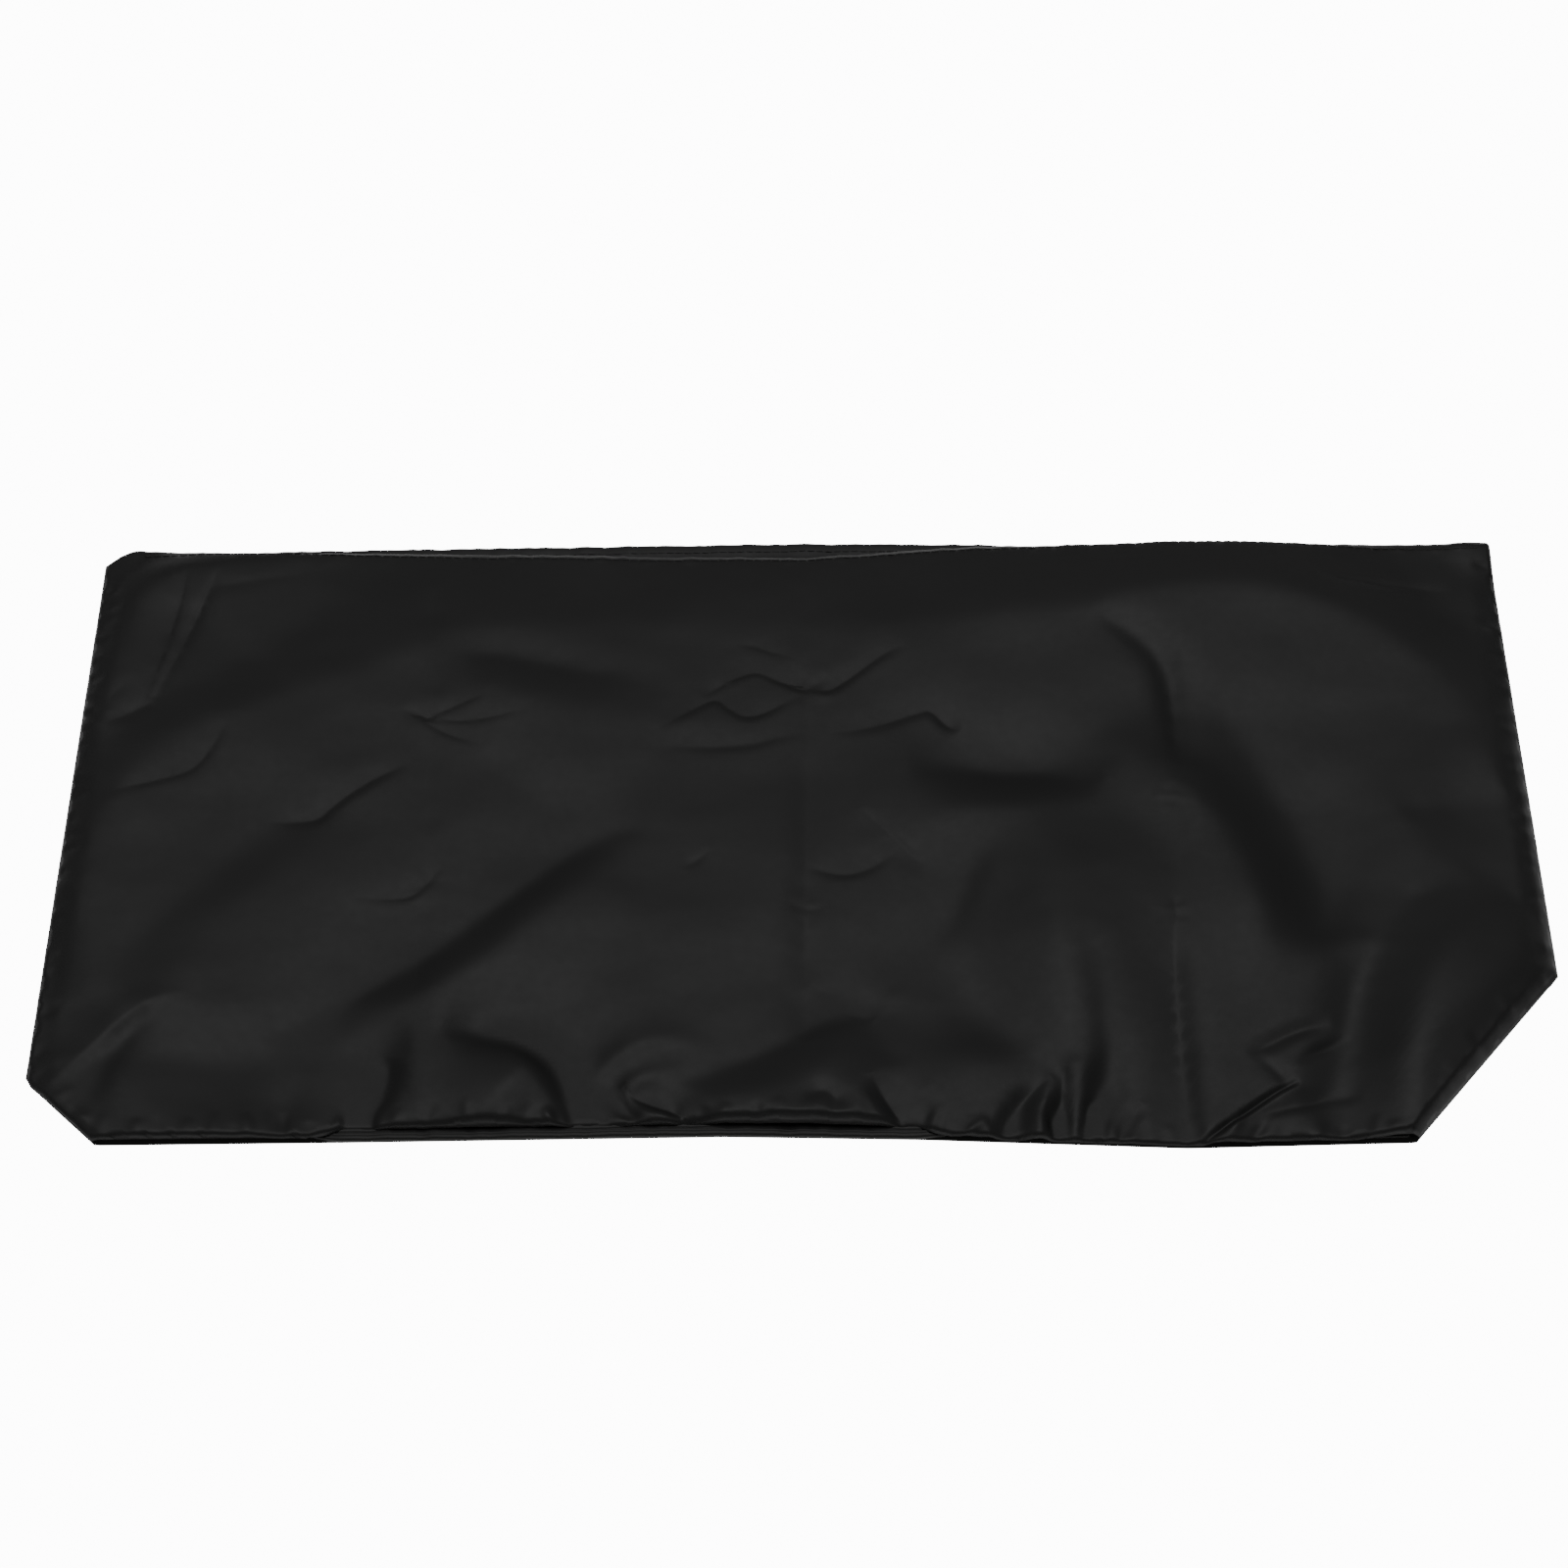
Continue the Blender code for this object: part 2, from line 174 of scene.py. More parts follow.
# Folds of the front panel. Each has the widths of its left and right flanks, as one width or as
# several spread along its route, how round its crest or bottom is, and its route: x, y and the rise
# there, or the dip where it is below zero.
Fold = namedtuple("Fold", "name left right round route")
FOLDS = [Fold(*row) for row in (
    ("shoulder",
     (10, 12, 16, 24, 32, 44, 48, 44, 34, 30, 26, 20, 14, 12, 14, 26, 32, 32, 32, 26, 10, 10),
     1000, 4, [(x, y, 2.8) for x, y in (
     (-217, -30), (-214, 0), (-206, 20), (-192, 34), (-165, 48), (-145, 57), (-130, 64), (-115, 71),
     (-95, 77), (-60, 78), (-20, 78), (20, 78), (60, 80), (90, 85), (108, 90), (130, 93), (155, 91),
     (172, 85), (187, 75), (200, 61), (212, 38), (217, 0), (217, -40), (208, -58), (178, -88), (165, -92),
     (110, -92), (40, -90), (-20, -88), (-80, -90), (-140, -92), (-180, -96), (-197, -95), (-200, -84),
     (-204, -72), (-212, -55), (-217, -30))]),
    ("tableland", 70, 70, 25, [(70, 30, 0), (100, 18, 1), (132, 0, 2.2), (150, -25, 2.6), (156, -55, 1.6),
     (150, -92, 0)]),
    ("near middle swell", 32, 9, 3, [(-48, -111, 0), (-34, -111, 0.8), (-18, -111, 1.8), (-4, -111, 2.8),
     (10, -111, 2.8), (22, -111, 1.8), (36, -111, 0)]),
    ("crest", (34, 44, 44, 42, 40), (36, 38, 42, 44, 42, 46, 48, 44), 4, [(-196, 24, 0), (-180, 37, 0.7),
     (-165, 47, 1.1), (-145, 56, 1.5), (-130, 63, 1.7), (-115, 70, 1.7), (-95, 76, 1.5), (-60, 78, 1),
     (-20, 78, 0.9), (20, 78, 1.6), (60, 80, 2.8), (90, 85, 3.6), (108, 90, 4.2), (130, 93, 4.8),
     (155, 91, 4.6), (172, 85, 3.6), (187, 75, 2.6), (200, 61, 1.6), (211, 40, 0)]),
    ("far left corner", 8, 56, 6, [(-221, 10, 0), (-219, 36, 1.6), (-214, 75, 3), (-206, 100, 3.8),
     (-175, 107, 3.8), (-140, 108.5, 2), (-105, 109, 0)]),
    ("ridge under the crest", (6, 10, 16, 18, 20, 18), 30, 3, [(-118, 66, 0), (-108, 61, 0.8),
     (-100, 55, 1.5), (-85, 46, 1.9), (-70, 41, 1.7), (-57, 36, 1), (-45, 32, 0)]),
    ("dip under the crest", 9, 12, 1.5, [(-117, 68, 0), (-105, 67, -0.8), (-95, 66, -1.2), (-82, 63, -1.2),
     (-68, 59, -1), (-55, 56, -0.8), (-42, 52, -0.4), (-32, 48, 0)]),
    ("pocket", 20, (15, 15, 14, 10, 7), 1.5, [(34, 20, 0), (42, 20.5, -1.6), (52, 20.5, -3.2), (62, 20, -4),
     (72, 19.5, -4), (80, 18, -3.2), (87, 15, -1.8), (93, 11, 0)]),
    ("dome", (18, 22, 28, 38, 42, 38), (24, 28, 30, 32, 34, 32), 3, [(30, -14, 0), (40, -4, 0.9),
     (50, 2, 1.9), (60, 4, 2.4), (69, 1, 2.6), (75, -8, 3), (78, -22, 3.6), (79, -38, 4.2), (79, -54, 4.4),
     (79, -72, 3.4), (80, -90, 1.8), (81, -104, 0)]),
    ("dome hollow", (24, 28, 26, 22), (26, 28, 28, 24), 5, [(40, -6, 0), (42, -22, -1.4), (44, -42, -2.5),
     (48, -62, -2.8), (54, -78, -2), (60, -92, 0)]),
    ("dome foot", 20, (8, 11, 12, 8), 2, [(42, -54, 0), (50, -66, -1.4), (58, -77, -2.2), (66, -86, -2.4),
     (74, -93, -1.8), (82, -98, 0)]),
    ("groove between streaks", 7, 6, 1, [(87, -44, 0), (88, -54, -0.4), (90, -66, -0.7), (91, -80, -1.2),
     (91, -92, -2.2), (89, -104, -2.6), (86, -114, -2), (85, -119, -1)]),
    ("first pleat ridge", 4.5, 4.5, 1, [(69, -121, 1.6), (69.5, -112, 2.4), (73, -104, 1.8), (77, -97, 0)]),
    ("second pleat ridge", 3.4, 4, 1, [(82, -121, 1.6), (81.5, -112, 2.4), (81.5, -102, 1.6),
     (81, -90, 0)]),
    ("third pleat ridge", 4, 3.6, 1, [(91, -121, 1.2), (91, -113, 1.6), (94, -104, 0)]),
    ("arc", 12, 14, 2.5, [(95, 33, 0), (103, 27, 0.8), (110, 20, 1.4), (117, 13, 1.8), (124, 4, 2),
     (130, -8, 2), (134, -19, 2), (138, -32, 1.8), (140, -45, 1.5), (142, -56, 0.8), (143, -66, 0)]),
    ("long dip", (40, 40, 40, 40, 32, 20, 10, 7), (12, 16, 20, 22, 21, 19, 17, 15), 2, [(118, 68, 0),
     (125, 58, -0.8), (132, 46, -1.8), (139, 34, -3), (145, 21, -4.2), (150, 8, -5), (155, -4, -5.4),
     (159, -15, -5.6), (161.5, -26, -5.4), (161, -36, -4.6), (159, -44, -3), (158, -50, -1),
     (157, -56, 0)]),
    ("steep dip", 7, (3, 5, 6, 6, 5, 3, 2), 0.6, [(96, 84, 0), (102, 79, -0.7), (108, 74, -1.3),
     (114, 67, -1.8), (118, 56, -2), (119, 44, -1.9), (119, 32, -1.4), (119, 24, -0.8), (119, 18, 0)]),
    ("left slope", 14, 28, 2.5, [(-140, 8, 0), (-150, 1, -0.9), (-162, -4, -1.4), (-174, -13, -1.6),
     (-184, -24, -1.6), (-194, -36, -1.6), (-202, -50, -1.5), (-207, -64, -1), (-210, -78, 0)]),
    ("slanting dip", (5, 8, 10, 11.5, 11, 10, 9), 30, 1.5, [(-45, -5, 0), (-54, -5, -0.6), (-62, -8, -1.3),
     (-71, -14, -2.2), (-81, -23, -3), (-91, -32.5, -3.5), (-101, -41.5, -3.8), (-111, -50, -3.8),
     (-121, -57.5, -3.7), (-131, -65, -3.4), (-141, -73, -2.8), (-149, -80.5, -1.8), (-156, -87, 0)]),
    ("slanting ridge", 26, 20, 4, [(-50, -14, 0), (-62, -18, 0.7), (-75, -29, 1.2), (-87, -42, 1.2),
     (-97, -54, 1.1), (-108, -62, 1), (-120, -68, 0.8), (-135, -77, 0.4), (-148, -86, 0)]),
    ("near left dip", 16, 26, 4, [(-202, -96, 0), (-185, -92, -2.2), (-165, -92, -3.4), (-148, -91, -3.6),
     (-134, -90, -3.4), (-123, -89, -2.4), (-114, -88, 0)]),
    ("near left swell", 24, 8, 2, [(-205, -112, 0), (-192, -116, 1), (-175, -117, 1.4), (-155, -117, 1.4),
     (-138, -117, 1.2), (-126, -117, 0)]),
    ("left groove", 6, 20, 0.8, [(-194, -72, 0), (-199, -79, -1.2), (-203, -88, -1.8), (-206, -97, -1.6),
     (-208, -105, -1), (-210, -112, 0)]),
    ("small left dip", 10, 7, 1.5, [(-147, -94, 0), (-149, -102, -1), (-151, -110, -1.4),
     (-154, -118, -1)]),
    ("hooked dip", (22, 26, 24, 16), (3, 7, 7, 7, 7, 7.5), 0.7, [(-107, -79.5, 0), (-102, -80, -1.8),
     (-96, -80.5, -3.4), (-88, -82, -4.4), (-79, -85.5, -5), (-71, -92, -5.2), (-66, -101, -5.2),
     (-63.5, -110, -4.6), (-63, -119, -3.4)]),
    ("tent", 18, 12, 0.4, [(-96, -119, 0.4), (-92, -111, 2.2), (-86, -102, 3), (-80, -95, 2.4),
     (-76, -92, 0.6)]),
    ("outer loop", 7, 3.4, 0.6, [(-47, -116, 0.5), (-55, -111, 1), (-60, -104, 1.3), (-60, -97, 1.3),
     (-54, -90, 1.1), (-46, -85, 0.9), (-38, -84, 0.6), (-30, -88, 0.2), (-24, -92, 0)]),
    ("inner loop", 2.6, 4, 0.5, [(-30, -114, 0.4), (-38, -110.5, 1), (-46, -107, 1.4), (-50, -103, 1.4),
     (-48, -98.5, 1), (-42, -96, 0.4), (-34, -95, 0)]),
    ("peak", (40, 40, 36, 30, 30), (8, 9, 11, 14, 22, 28, 26, 14, 8), 0.8, [(-50, -100, 0),
     (-38, -99, -1.6), (-24, -95, -2.4), (-10, -88, -2.8), (0, -81.5, -3.1), (7, -75.5, -3.2),
     (12, -73, -3.2), (17, -73.5, -3), (21, -79, -2.6), (26, -88, -2), (31, -96, -1), (36, -102, 0)]),
    ("saddle", 9, 6, 1, [(-4, -66, 0), (3, -64, 0.5), (14, -64, 0.6), (28, -66, 0.5), (42, -68, 0.3),
     (52, -72, 0)]),
    ("right hollow", 11, (18, 19, 20, 19, 18), 1.5, [(150, -116, 0), (156, -108, -2), (161, -90, -3),
     (165, -73, -3.1), (171, -56, -2.4), (181, -40, -1.2), (192, -29, -0.6), (202, -23, 0)]),
    ("right swell", (15, 15, 16, 18, 20, 18), (40, 40, 40, 36, 30), 2.5, [(176, -121, 3.4), (180, -104, 5),
     (183, -86, 5.4), (188, -68, 5), (197, -54, 4), (208, -42, 2), (218, -34, 0)]),
    ("right step", 22, 22, 1, [(186, 1, 0), (192, 3, -0.8), (200, 5, -1.2), (208, 6, -1.2), (216, 9, -0.6),
     (220, 11, 0)]),
    ("soft dip", 6, 7, 2.5, [(-99, 27, 0), (-92, 21, -0.5), (-85, 13, -0.6), (-78, 7, -0.4), (-72, 2, 0)]),
)]

# Sharp creases and small folds, drawn in the same way
CREASES = [Fold(*row) for row in (
    ("left packing crease", 6, 5, 0.6, [(-119, 96, 0), (-119, 82, -0.4), (-117, 60, -0.1), (-116, 20, -0.3),
     (-115, 0, -0.2), (-114, -27, -0.2), (-115, -60, -0.3), (-115, -86, 0)]),
    ("middle packing crease", (10, 14, 20, 22, 20), (10, 9, 8, 8, 8), 0.5, [(3, 110, 0), (3, 90, -0.2),
     (3, 75, -0.3), (3, 47, -0.8), (2.5, 10, -1), (2, -20, -1.2), (2, -50, -1.4), (2, -72, -1),
     (2, -84, 0)]),
    ("right packing crease", (3, 4, 6, 7), (8, 16, 26, 26), 0.4, [(122, 114, 0), (119, 60, -0.2),
     (118, 20, -0.1), (115, -30, -0.4), (113, -48, -1.2), (112.5, -62, -2.4), (112.5, -90, -3.2),
     (112, -119, -2.8)]),
    ("left fold", 7, 2.6, 0.4, [(-166, -1, 0), (-158, -1, -0.4), (-150, 0, -0.7), (-146, 4, -0.75),
     (-140, 9.5, -0.75), (-132, 16, -0.6), (-122, 22, 0)]),
    ("corner ridge", 7, 4.2, 0.5, [(-219, -98, 0.4), (-213, -90, 0.8), (-207, -83, 1.1), (-201, -76, 1.1),
     (-195, -71, 0.8), (-189, -68, 0.4), (-182, -66, 0)]),
    ("left pleat", 5.5, 16, 0.5, [(-120, -90, 0), (-122, -95, -1.8), (-124, -102, -2.8), (-127, -110, -3),
     (-131, -120, -2.4)]),
    ("loop shadow", 8, 3, 0.4, [(-52, -100, 0), (-48, -104.5, -1.8), (-42, -107.5, -2.8), (-36, -110, -3),
     (-30, -117, -2.4)]),
    ("loop groove", 2.5, 2.5, 0.6, [(-57, -98, 0), (-56, -103, -0.8), (-52, -108, -1), (-48, -112, -0.6)]),
    ("hump", 5, 6, 0.5, [(0, -112, 0), (2, -107, -0.6), (5, -104, -1.2), (8, -104, -1.2), (11, -107, -1),
     (14, -111, 0)]),
    ("saddle groove", 10, 3.4, 0.4, [(3, -63, 0), (8, -65.5, -0.6), (13, -69, -0.9), (18, -73, -0.7),
     (22, -76, 0)]),
    ("near groove", 12, 4, 0.4, [(21, -97, 0), (24, -104, -1.8), (28.5, -111, -2.8), (34, -119, -2.4)]),
    ("first near pleat", 4.5, 12, 0.4, [(60, -119, -2), (61.5, -113, -2.6), (65, -106, -2.2),
     (70, -101, -1), (74, -98, 0)]),
    ("tongue crease", 2, 5, 0.3, [(75, -119, -0.8), (73, -112, -0.8), (72, -106, 0)]),
    ("second near pleat", 10, 4, 0.4, [(78, -94, 0), (77, -101, -1.6), (76, -108, -2.6), (75.5, -114, -2.6),
     (75, -120, -2)]),
    ("third near pleat", 8, 3.2, 0.4, [(85, -104, 0), (84, -110, -1.6), (83, -120, -1.8)]),
    ("fourth near pleat", 3, 8, 0.4, [(100, -106, 0), (96, -112, -1.6), (92, -120, -1.6)]),
    ("upper zigzag", 8, 1.6, 0.3, [(-31, 49, 0), (-26, 53, -0.3), (-19, 57.5, -0.45), (-13, 59, -0.4),
     (-6, 55.5, -0.5), (0, 53, -0.6), (3, 53, 0)]),
    ("lower zigzag", 8, 1.8, 0.3, [(-44, 36, 0), (-36, 42, -0.4), (-27, 47.5, -0.6), (-22, 44, -0.5),
     (-17, 41, -0.5), (-10, 43, -0.5), (0, 50, 0)]),
    ("zigzag line", 7, 2.4, 0.5, [(-44, 29, 0), (-28, 28.5, -0.45), (-16, 29.5, -0.45), (-8, 32, -0.35),
     (2, 35, 0)]),
    ("crest line", 6, 1.8, 0.3, [(-20, 71.5, 0), (-14, 70, -0.25), (-8, 67.5, -0.25), (0, 65, 0)]),
    ("rising crease", 7, 2, 0.3, [(3, 53, -0.4), (9, 52, -0.6), (14, 55, -0.6), (20, 60, -0.55),
     (27, 66, -0.35), (34, 70, 0)]),
    ("crease step", 8, 2.6, 0.4, [(7, 34, 0), (20, 36, -0.4), (28, 38.5, -0.55), (38, 42.5, -0.6),
     (42, 43, -0.8), (47, 38, -0.9), (51, 35.5, 0)]),
    ("slanting crease", 1.2, 1.4, 0.3, [(116, -121, -0.8), (122, -116, -1.1), (130, -110, -1.1),
     (138, -104, -1), (143, -101, -0.8), (147, -99, 0)]),
    ("slanting lip", 1.6, 3.5, 0.4, [(120, -121, 0), (125, -116.5, 0.35), (132, -111, 0.45),
     (139, -106, 0.4), (144, -102.5, 0.3), (148, -100, 0)]),
    ("lower right groove", 5, 2.5, 0.5, [(127, -114, 0), (138, -109.5, -0.9), (148, -107, -1),
     (156, -104, -0.9), (165, -104, 0)]),
    ("right crumple", 4, 3.5, 0.5, [(132, -90, 0), (138, -86.5, -1), (144, -83, -1.2), (151, -80, -1.1),
     (158, -78, 0)]),
    ("right crumple line", 2.5, 2.5, 0.5, [(146, -93, 0), (152, -89, -0.7), (157, -86, -0.7),
     (163, -82, 0)]),
    ("right crumple turn", 2.5, 3, 0.5, [(134, -90, 0), (139, -94, -0.6), (142, -98, -0.7),
     (144, -102, 0)]),
    ("leaf", 8, 2.4, 0.4, [(2, -18, 0), (8, -20.5, -0.45), (14, -21.5, -0.6), (20, -20, -0.5),
     (26, -16, -0.3), (31, -11, 0)]),
    ("leaf ridge", 2, 6, 0.3, [(19, 4, 0), (23, -1, -0.3), (29, -8, -0.4), (34, -14, -0.4), (39, -19, 0)]),
    ("left crease", 7, 2, 0.3, [(-219, 9, 0), (-205, 13.5, -0.35), (-192, 18.5, -0.4), (-186, 26, -0.4),
     (-181, 38, 0)]),
    ("ribbon left edge", 1.4, 4, 0.3, [(-200, 106, 0), (-201, 92, -0.3), (-204, 72, -0.4),
     (-208, 50, -0.1)]),
    ("ribbon right edge", 3, 1.6, 0.3, [(-190, 104, 0), (-193, 92, -0.5), (-198.5, 72, -0.5),
     (-205, 50, -0.2)]),
    ("corner line", 3, 3, 0.5, [(-193, 96, 0), (-184, 97.5, -0.2), (-170, 100.5, -0.15), (-158, 102, 0)]),
    ("corner star line", 3, 3, 0.4, [(-224, 37, 0), (-216, 41, -0.25), (-208, 46, -0.3)]),
    ("corner star fork", 3, 3, 0.4, [(-219, 44, 0), (-219, 50, -0.2), (-212, 58, 0)]),
    ("upper right line", 2, 2.5, 0.4, [(168, 101, 0), (180, 98.5, -0.3), (196, 96.5, -0.3), (213, 95, 0)]),
    ("left star, upper arm", 6, 1.6, 0.3, [(-118, 40, -0.2), (-108, 45, -0.3), (-100, 49, 0)]),
    ("left star, middle arm", 6, 1.6, 0.3, [(-118, 40, -0.2), (-106, 38.5, -0.3), (-96, 40, -0.2),
     (-89, 42, 0)]),
    ("left star, lower arm", 6, 1.6, 0.3, [(-118, 38, -0.2), (-110, 33, -0.3), (-101, 29.5, 0)]),
    ("left star, left arm", 4, 2, 0.4, [(-117, 40, -0.2), (-122, 42, -0.2), (-128, 43, 0)]),
    ("left near crumple", 5, 1.8, 0.3, [(-138, -31, 0), (-125, -31, -0.3), (-118, -29, -0.4),
     (-114, -24, -0.35), (-110, -18, 0)]),
    ("middle crumple", 2, 2, 0.4, [(-36, -20, 0), (-32, -17, -0.2), (-27, -12, 0)]),
)]

# Small stars of creases, where the packing creases cross: x, y, arms, reach, depth
Star = namedtuple("Star", "x y arms reach depth")
STARS = [
    Star(3, 53, 4, 9, 0.16),
    Star(115, 6, 4, 8, 0.14),
    Star(-115, -25, 4, 9, 0.11),
    Star(2, -35, 4, 8, 0.14),
    Star(114, -38, 4, 8, 0.14),
]

# Pleats that the near seam draws in: x at the seam, lean and reach from it, width, and rise or dip
Pleat = namedtuple("Pleat", "x lean reach width rise")
PLEATS = [
    Pleat(-160, -2, 9, 2.4, 0.5),
    Pleat(-135, 2, 7, 2.0, 0.8),
    Pleat(-125, -1, 5, 1.8, -0.6),
    Pleat(-72, -3, 6, 1.6, 0.7),
    Pleat(38, 3, 9, 2.0, 0.6),
    Pleat(48, 7, 6, 1.4, 0.6),
    Pleat(55, -3, 8, 1.8, 0.5),
    Pleat(104, 7, 5, 1.6, -0.5),
    Pleat(109, -2, 8, 2.0, 0.5),
    Pleat(124, 5, 9, 2.0, 0.7),
    Pleat(131, 7, 9, 2.0, -0.6),
    Pleat(150, 3, 7, 2.4, 0.5),
]

# The cloth's own slow and fine unevenness: length across and along, place in the noise, and rise
Wave = namedtuple("Wave", "across along seed rise")
WAVES = [Wave(34, 26, 1.7, 0.7), Wave(9, 7, 8.3, 0.12)]

# Stations round the gusset's runs, from the seam with the front panel in to the fold between the
# panels and back out to the seam with the back panel: the share of the way round, the way in, which
# is None at the inner fold, and the height. The near run has narrow folds that show.
Station = namedtuple("Station", "round into height")
NEAR_RUN = [
    Station(0, 5, 2.4), Station(0.010, 3.4, 2.5), Station(0.016, 2.8, 2.1), Station(0.022, 2.2, 2.6),
    Station(0.028, 1.7, 2.0), Station(0.036, 1.0, 2.3), Station(0.044, 0.5, 1.5), Station(0.06, 1.4, 1.5),
    Station(0.5, None, 1.3), Station(0.53, None, 1.0), Station(1, 2.0, 1.0),
]
SIDE_RUN = [
    Station(0, 2.5, 2.15), Station(0.48, None, 2.15), Station(0.52, None, 1.75), Station(1, 2.5, 1.75),
]

# Where the camera aims, in millimetres, and the lamp's way up from the cover, in metres
AIM = (-4.75, 18.1, 0)
LAMP_SIZE = (2.5, 1.5)
LAMP_WAY = (-0.03, 0.27, 0.95)
LAMP_DISTANCE = 3.0


class CoverSizes(bpy.types.PropertyGroup):
    cloth: FloatProperty(
        name="Cloth", description="Thickness of one layer of cloth", default=0.4 * MM, unit="LENGTH")
    hem: FloatProperty(
        name="Hem", description="Width of the narrow hem round the mouth", default=4.0 * MM, unit="LENGTH")
    seam_allowance: FloatProperty(
        name="Seam allowance", description="Cloth turned in at each seam", default=10.0 * MM, unit="LENGTH")
    panel_height: FloatProperty(
        name="Panel height", description="Finished height of the front and back panels",
        default=254.0 * MM, unit="LENGTH")
    gusset_width: FloatProperty(
        name="Gusset width", description="Finished width of the gusset, the printer's depth",
        default=420.0 * MM, unit="LENGTH")
    roll: FloatProperty(
        name="Seam roll", description="How far in from a seam the front panel rolls down to it",
        default=9.0 * MM, unit="LENGTH")
    stitch: FloatProperty(
        name="Stitch", description="Length of one lockstitch", default=2.6 * MM, unit="LENGTH")
    thread: FloatProperty(
        name="Thread", description="Thickness of the sewing thread", default=0.35 * MM, unit="LENGTH")
    fold_height: FloatProperty(
        name="Fold height", description="Scale of the broad folds' heights", default=1.0, min=0.0)


class ClothFinish(bpy.types.PropertyGroup):
    black: FloatVectorProperty(
        name="Cloth colour", description="Colour of the coated cloth", default=(0.0125, 0.0125, 0.0125),
        subtype="COLOR", min=0.0, max=1.0)
    worn: FloatVectorProperty(
        name="Crease colour", description="Colour along the packing creases, where the coating is worn",
        default=(0.015, 0.015, 0.015), subtype="COLOR", min=0.0, max=1.0)
    thread: FloatVectorProperty(
        name="Thread colour", description="Colour of the sewing thread", default=(0.010, 0.010, 0.010),
        subtype="COLOR", min=0.0, max=1.0)
    satin: FloatProperty(
        name="Roughness", description="Roughness of the coating", default=0.5, min=0.0, max=1.0)
    threads: FloatProperty(
        name="Threads", description="Distance between the weave's threads",
        default=0.42 * MM, unit="LENGTH")
    relief: FloatProperty(
        name="Weave depth", description="Depth of the weave", default=0.02 * MM, unit="LENGTH")


class Studio(bpy.types.PropertyGroup):
    lens: FloatProperty(name="Lens", description="Focal length in millimetres", default=85.97)
    elevation: FloatProperty(
        name="Elevation", description="Camera's angle above the table", default=math.radians(50.5),
        subtype="ANGLE")
    distance: FloatProperty(
        name="Distance", description="Camera's distance from the cover", default=1.1777, unit="LENGTH")
    lamp: FloatProperty(
        name="Lamp", description="Power of the soft overhead lamp in watts", default=24.0)
    fill: FloatProperty(
        name="Fill", description="Strength of the even light from all round", default=0.15)
    floor: FloatProperty(
        name="Floor", description="Brightness of the pale floor as the camera sees it", default=12.0)
    glow: FloatProperty(
        name="Glow", description="Brightness of the floor as the cloth's edges mirror it", default=0.8)


def ease(value):
    """0 below 0, 1 above 1, and an even curve between."""
    value = np.clip(value, 0.0, 1.0)
    return value * value * (3.0 - 2.0 * value)


def along(table, x):
    """The second column of a table at x, between its rows."""
    places = np.array(table, float)
    return np.interp(x, places[:, 0], places[:, 1])


def curve_through(points, steps=6):
    """Points of a smooth curve through a route's own points."""
    points = np.array(points, float)
    ends = np.vstack([2 * points[0] - points[1], points, 2 * points[-1] - points[-2]])
    curve = []
    for a, b, c, d in zip(ends, ends[1:], ends[2:], ends[3:]):
        for step in range(steps):
            t = step / steps
            curve.append(0.5 * (2 * b + (c - a) * t + (2 * a - 5 * b + 4 * c - d) * t ** 2
                                + (3 * b - a - 3 * c + d) * t ** 3))
    curve.append(points[-1])
    return np.array(curve)


def flank_widths(widths):
    """A flank's widths, spread evenly along its route."""
    return widths if isinstance(widths, tuple) else (widths, widths)


def flank_width(widths, share):
    """A flank's width at this share of its route."""
    widths = flank_widths(widths)
    return np.interp(share, np.linspace(0, 1, len(widths)), widths)


def flank(distance, width, rounding, foot=0.06):
    """1 at a fold's crest, falling evenly to 0 at its width, with a rounded crest and foot."""
    away = np.sqrt(distance ** 2 + rounding ** 2) - rounding
    left = 1.0 - away / width
    return (left + np.sqrt(left ** 2 + foot)) / (1.0 + math.sqrt(1.0 + foot))


def close_to(curve, x, y, reach):
    """Whether each point lies in the box round a curve, widened by this reach."""
    low, high = curve.min(axis=0) - reach, curve.max(axis=0) + reach
    return (x > low[0]) & (x < high[0]) & (y > low[1]) & (y < high[1])


def add_fold(fold, x, y, height):
    """Adds one fold to the heights at these points."""
    curve = curve_through(fold.route)
    reach = 2.5 * max(flank_widths(fold.left) + flank_widths(fold.right))
    near = close_to(curve, x, y, reach)
    if not near.any():
        return
    px, py = x[near], y[near]
    nearest = np.full(px.shape, np.inf)
    rise, side, place = np.zeros((3, *px.shape))
    last = len(curve) - 1
    for index, ((ax, ay, az), (bx, by, bz)) in enumerate(zip(curve, curve[1:])):
        dx, dy = bx - ax, by - ay
        share = np.clip(((px - ax) * dx + (py - ay) * dy) / (dx * dx + dy * dy), 0, 1)
        ox = px - ax - dx * share
        oy = py - ay - dy * share
        distance = np.hypot(ox, oy)
        closer = distance < nearest
        nearest = np.where(closer, distance, nearest)
        rise = np.where(closer, az + (bz - az) * share, rise)
        side = np.where(closer, dx * oy - dy * ox, side)
        place = np.where(closer, (index + share) / last, place)
    width = np.where(side > 0, flank_width(fold.left, place), flank_width(fold.right, place))
    fade = ease((reach - nearest) / (0.5 * reach))
    height[near] += rise * flank(nearest, width, fold.round) * fade


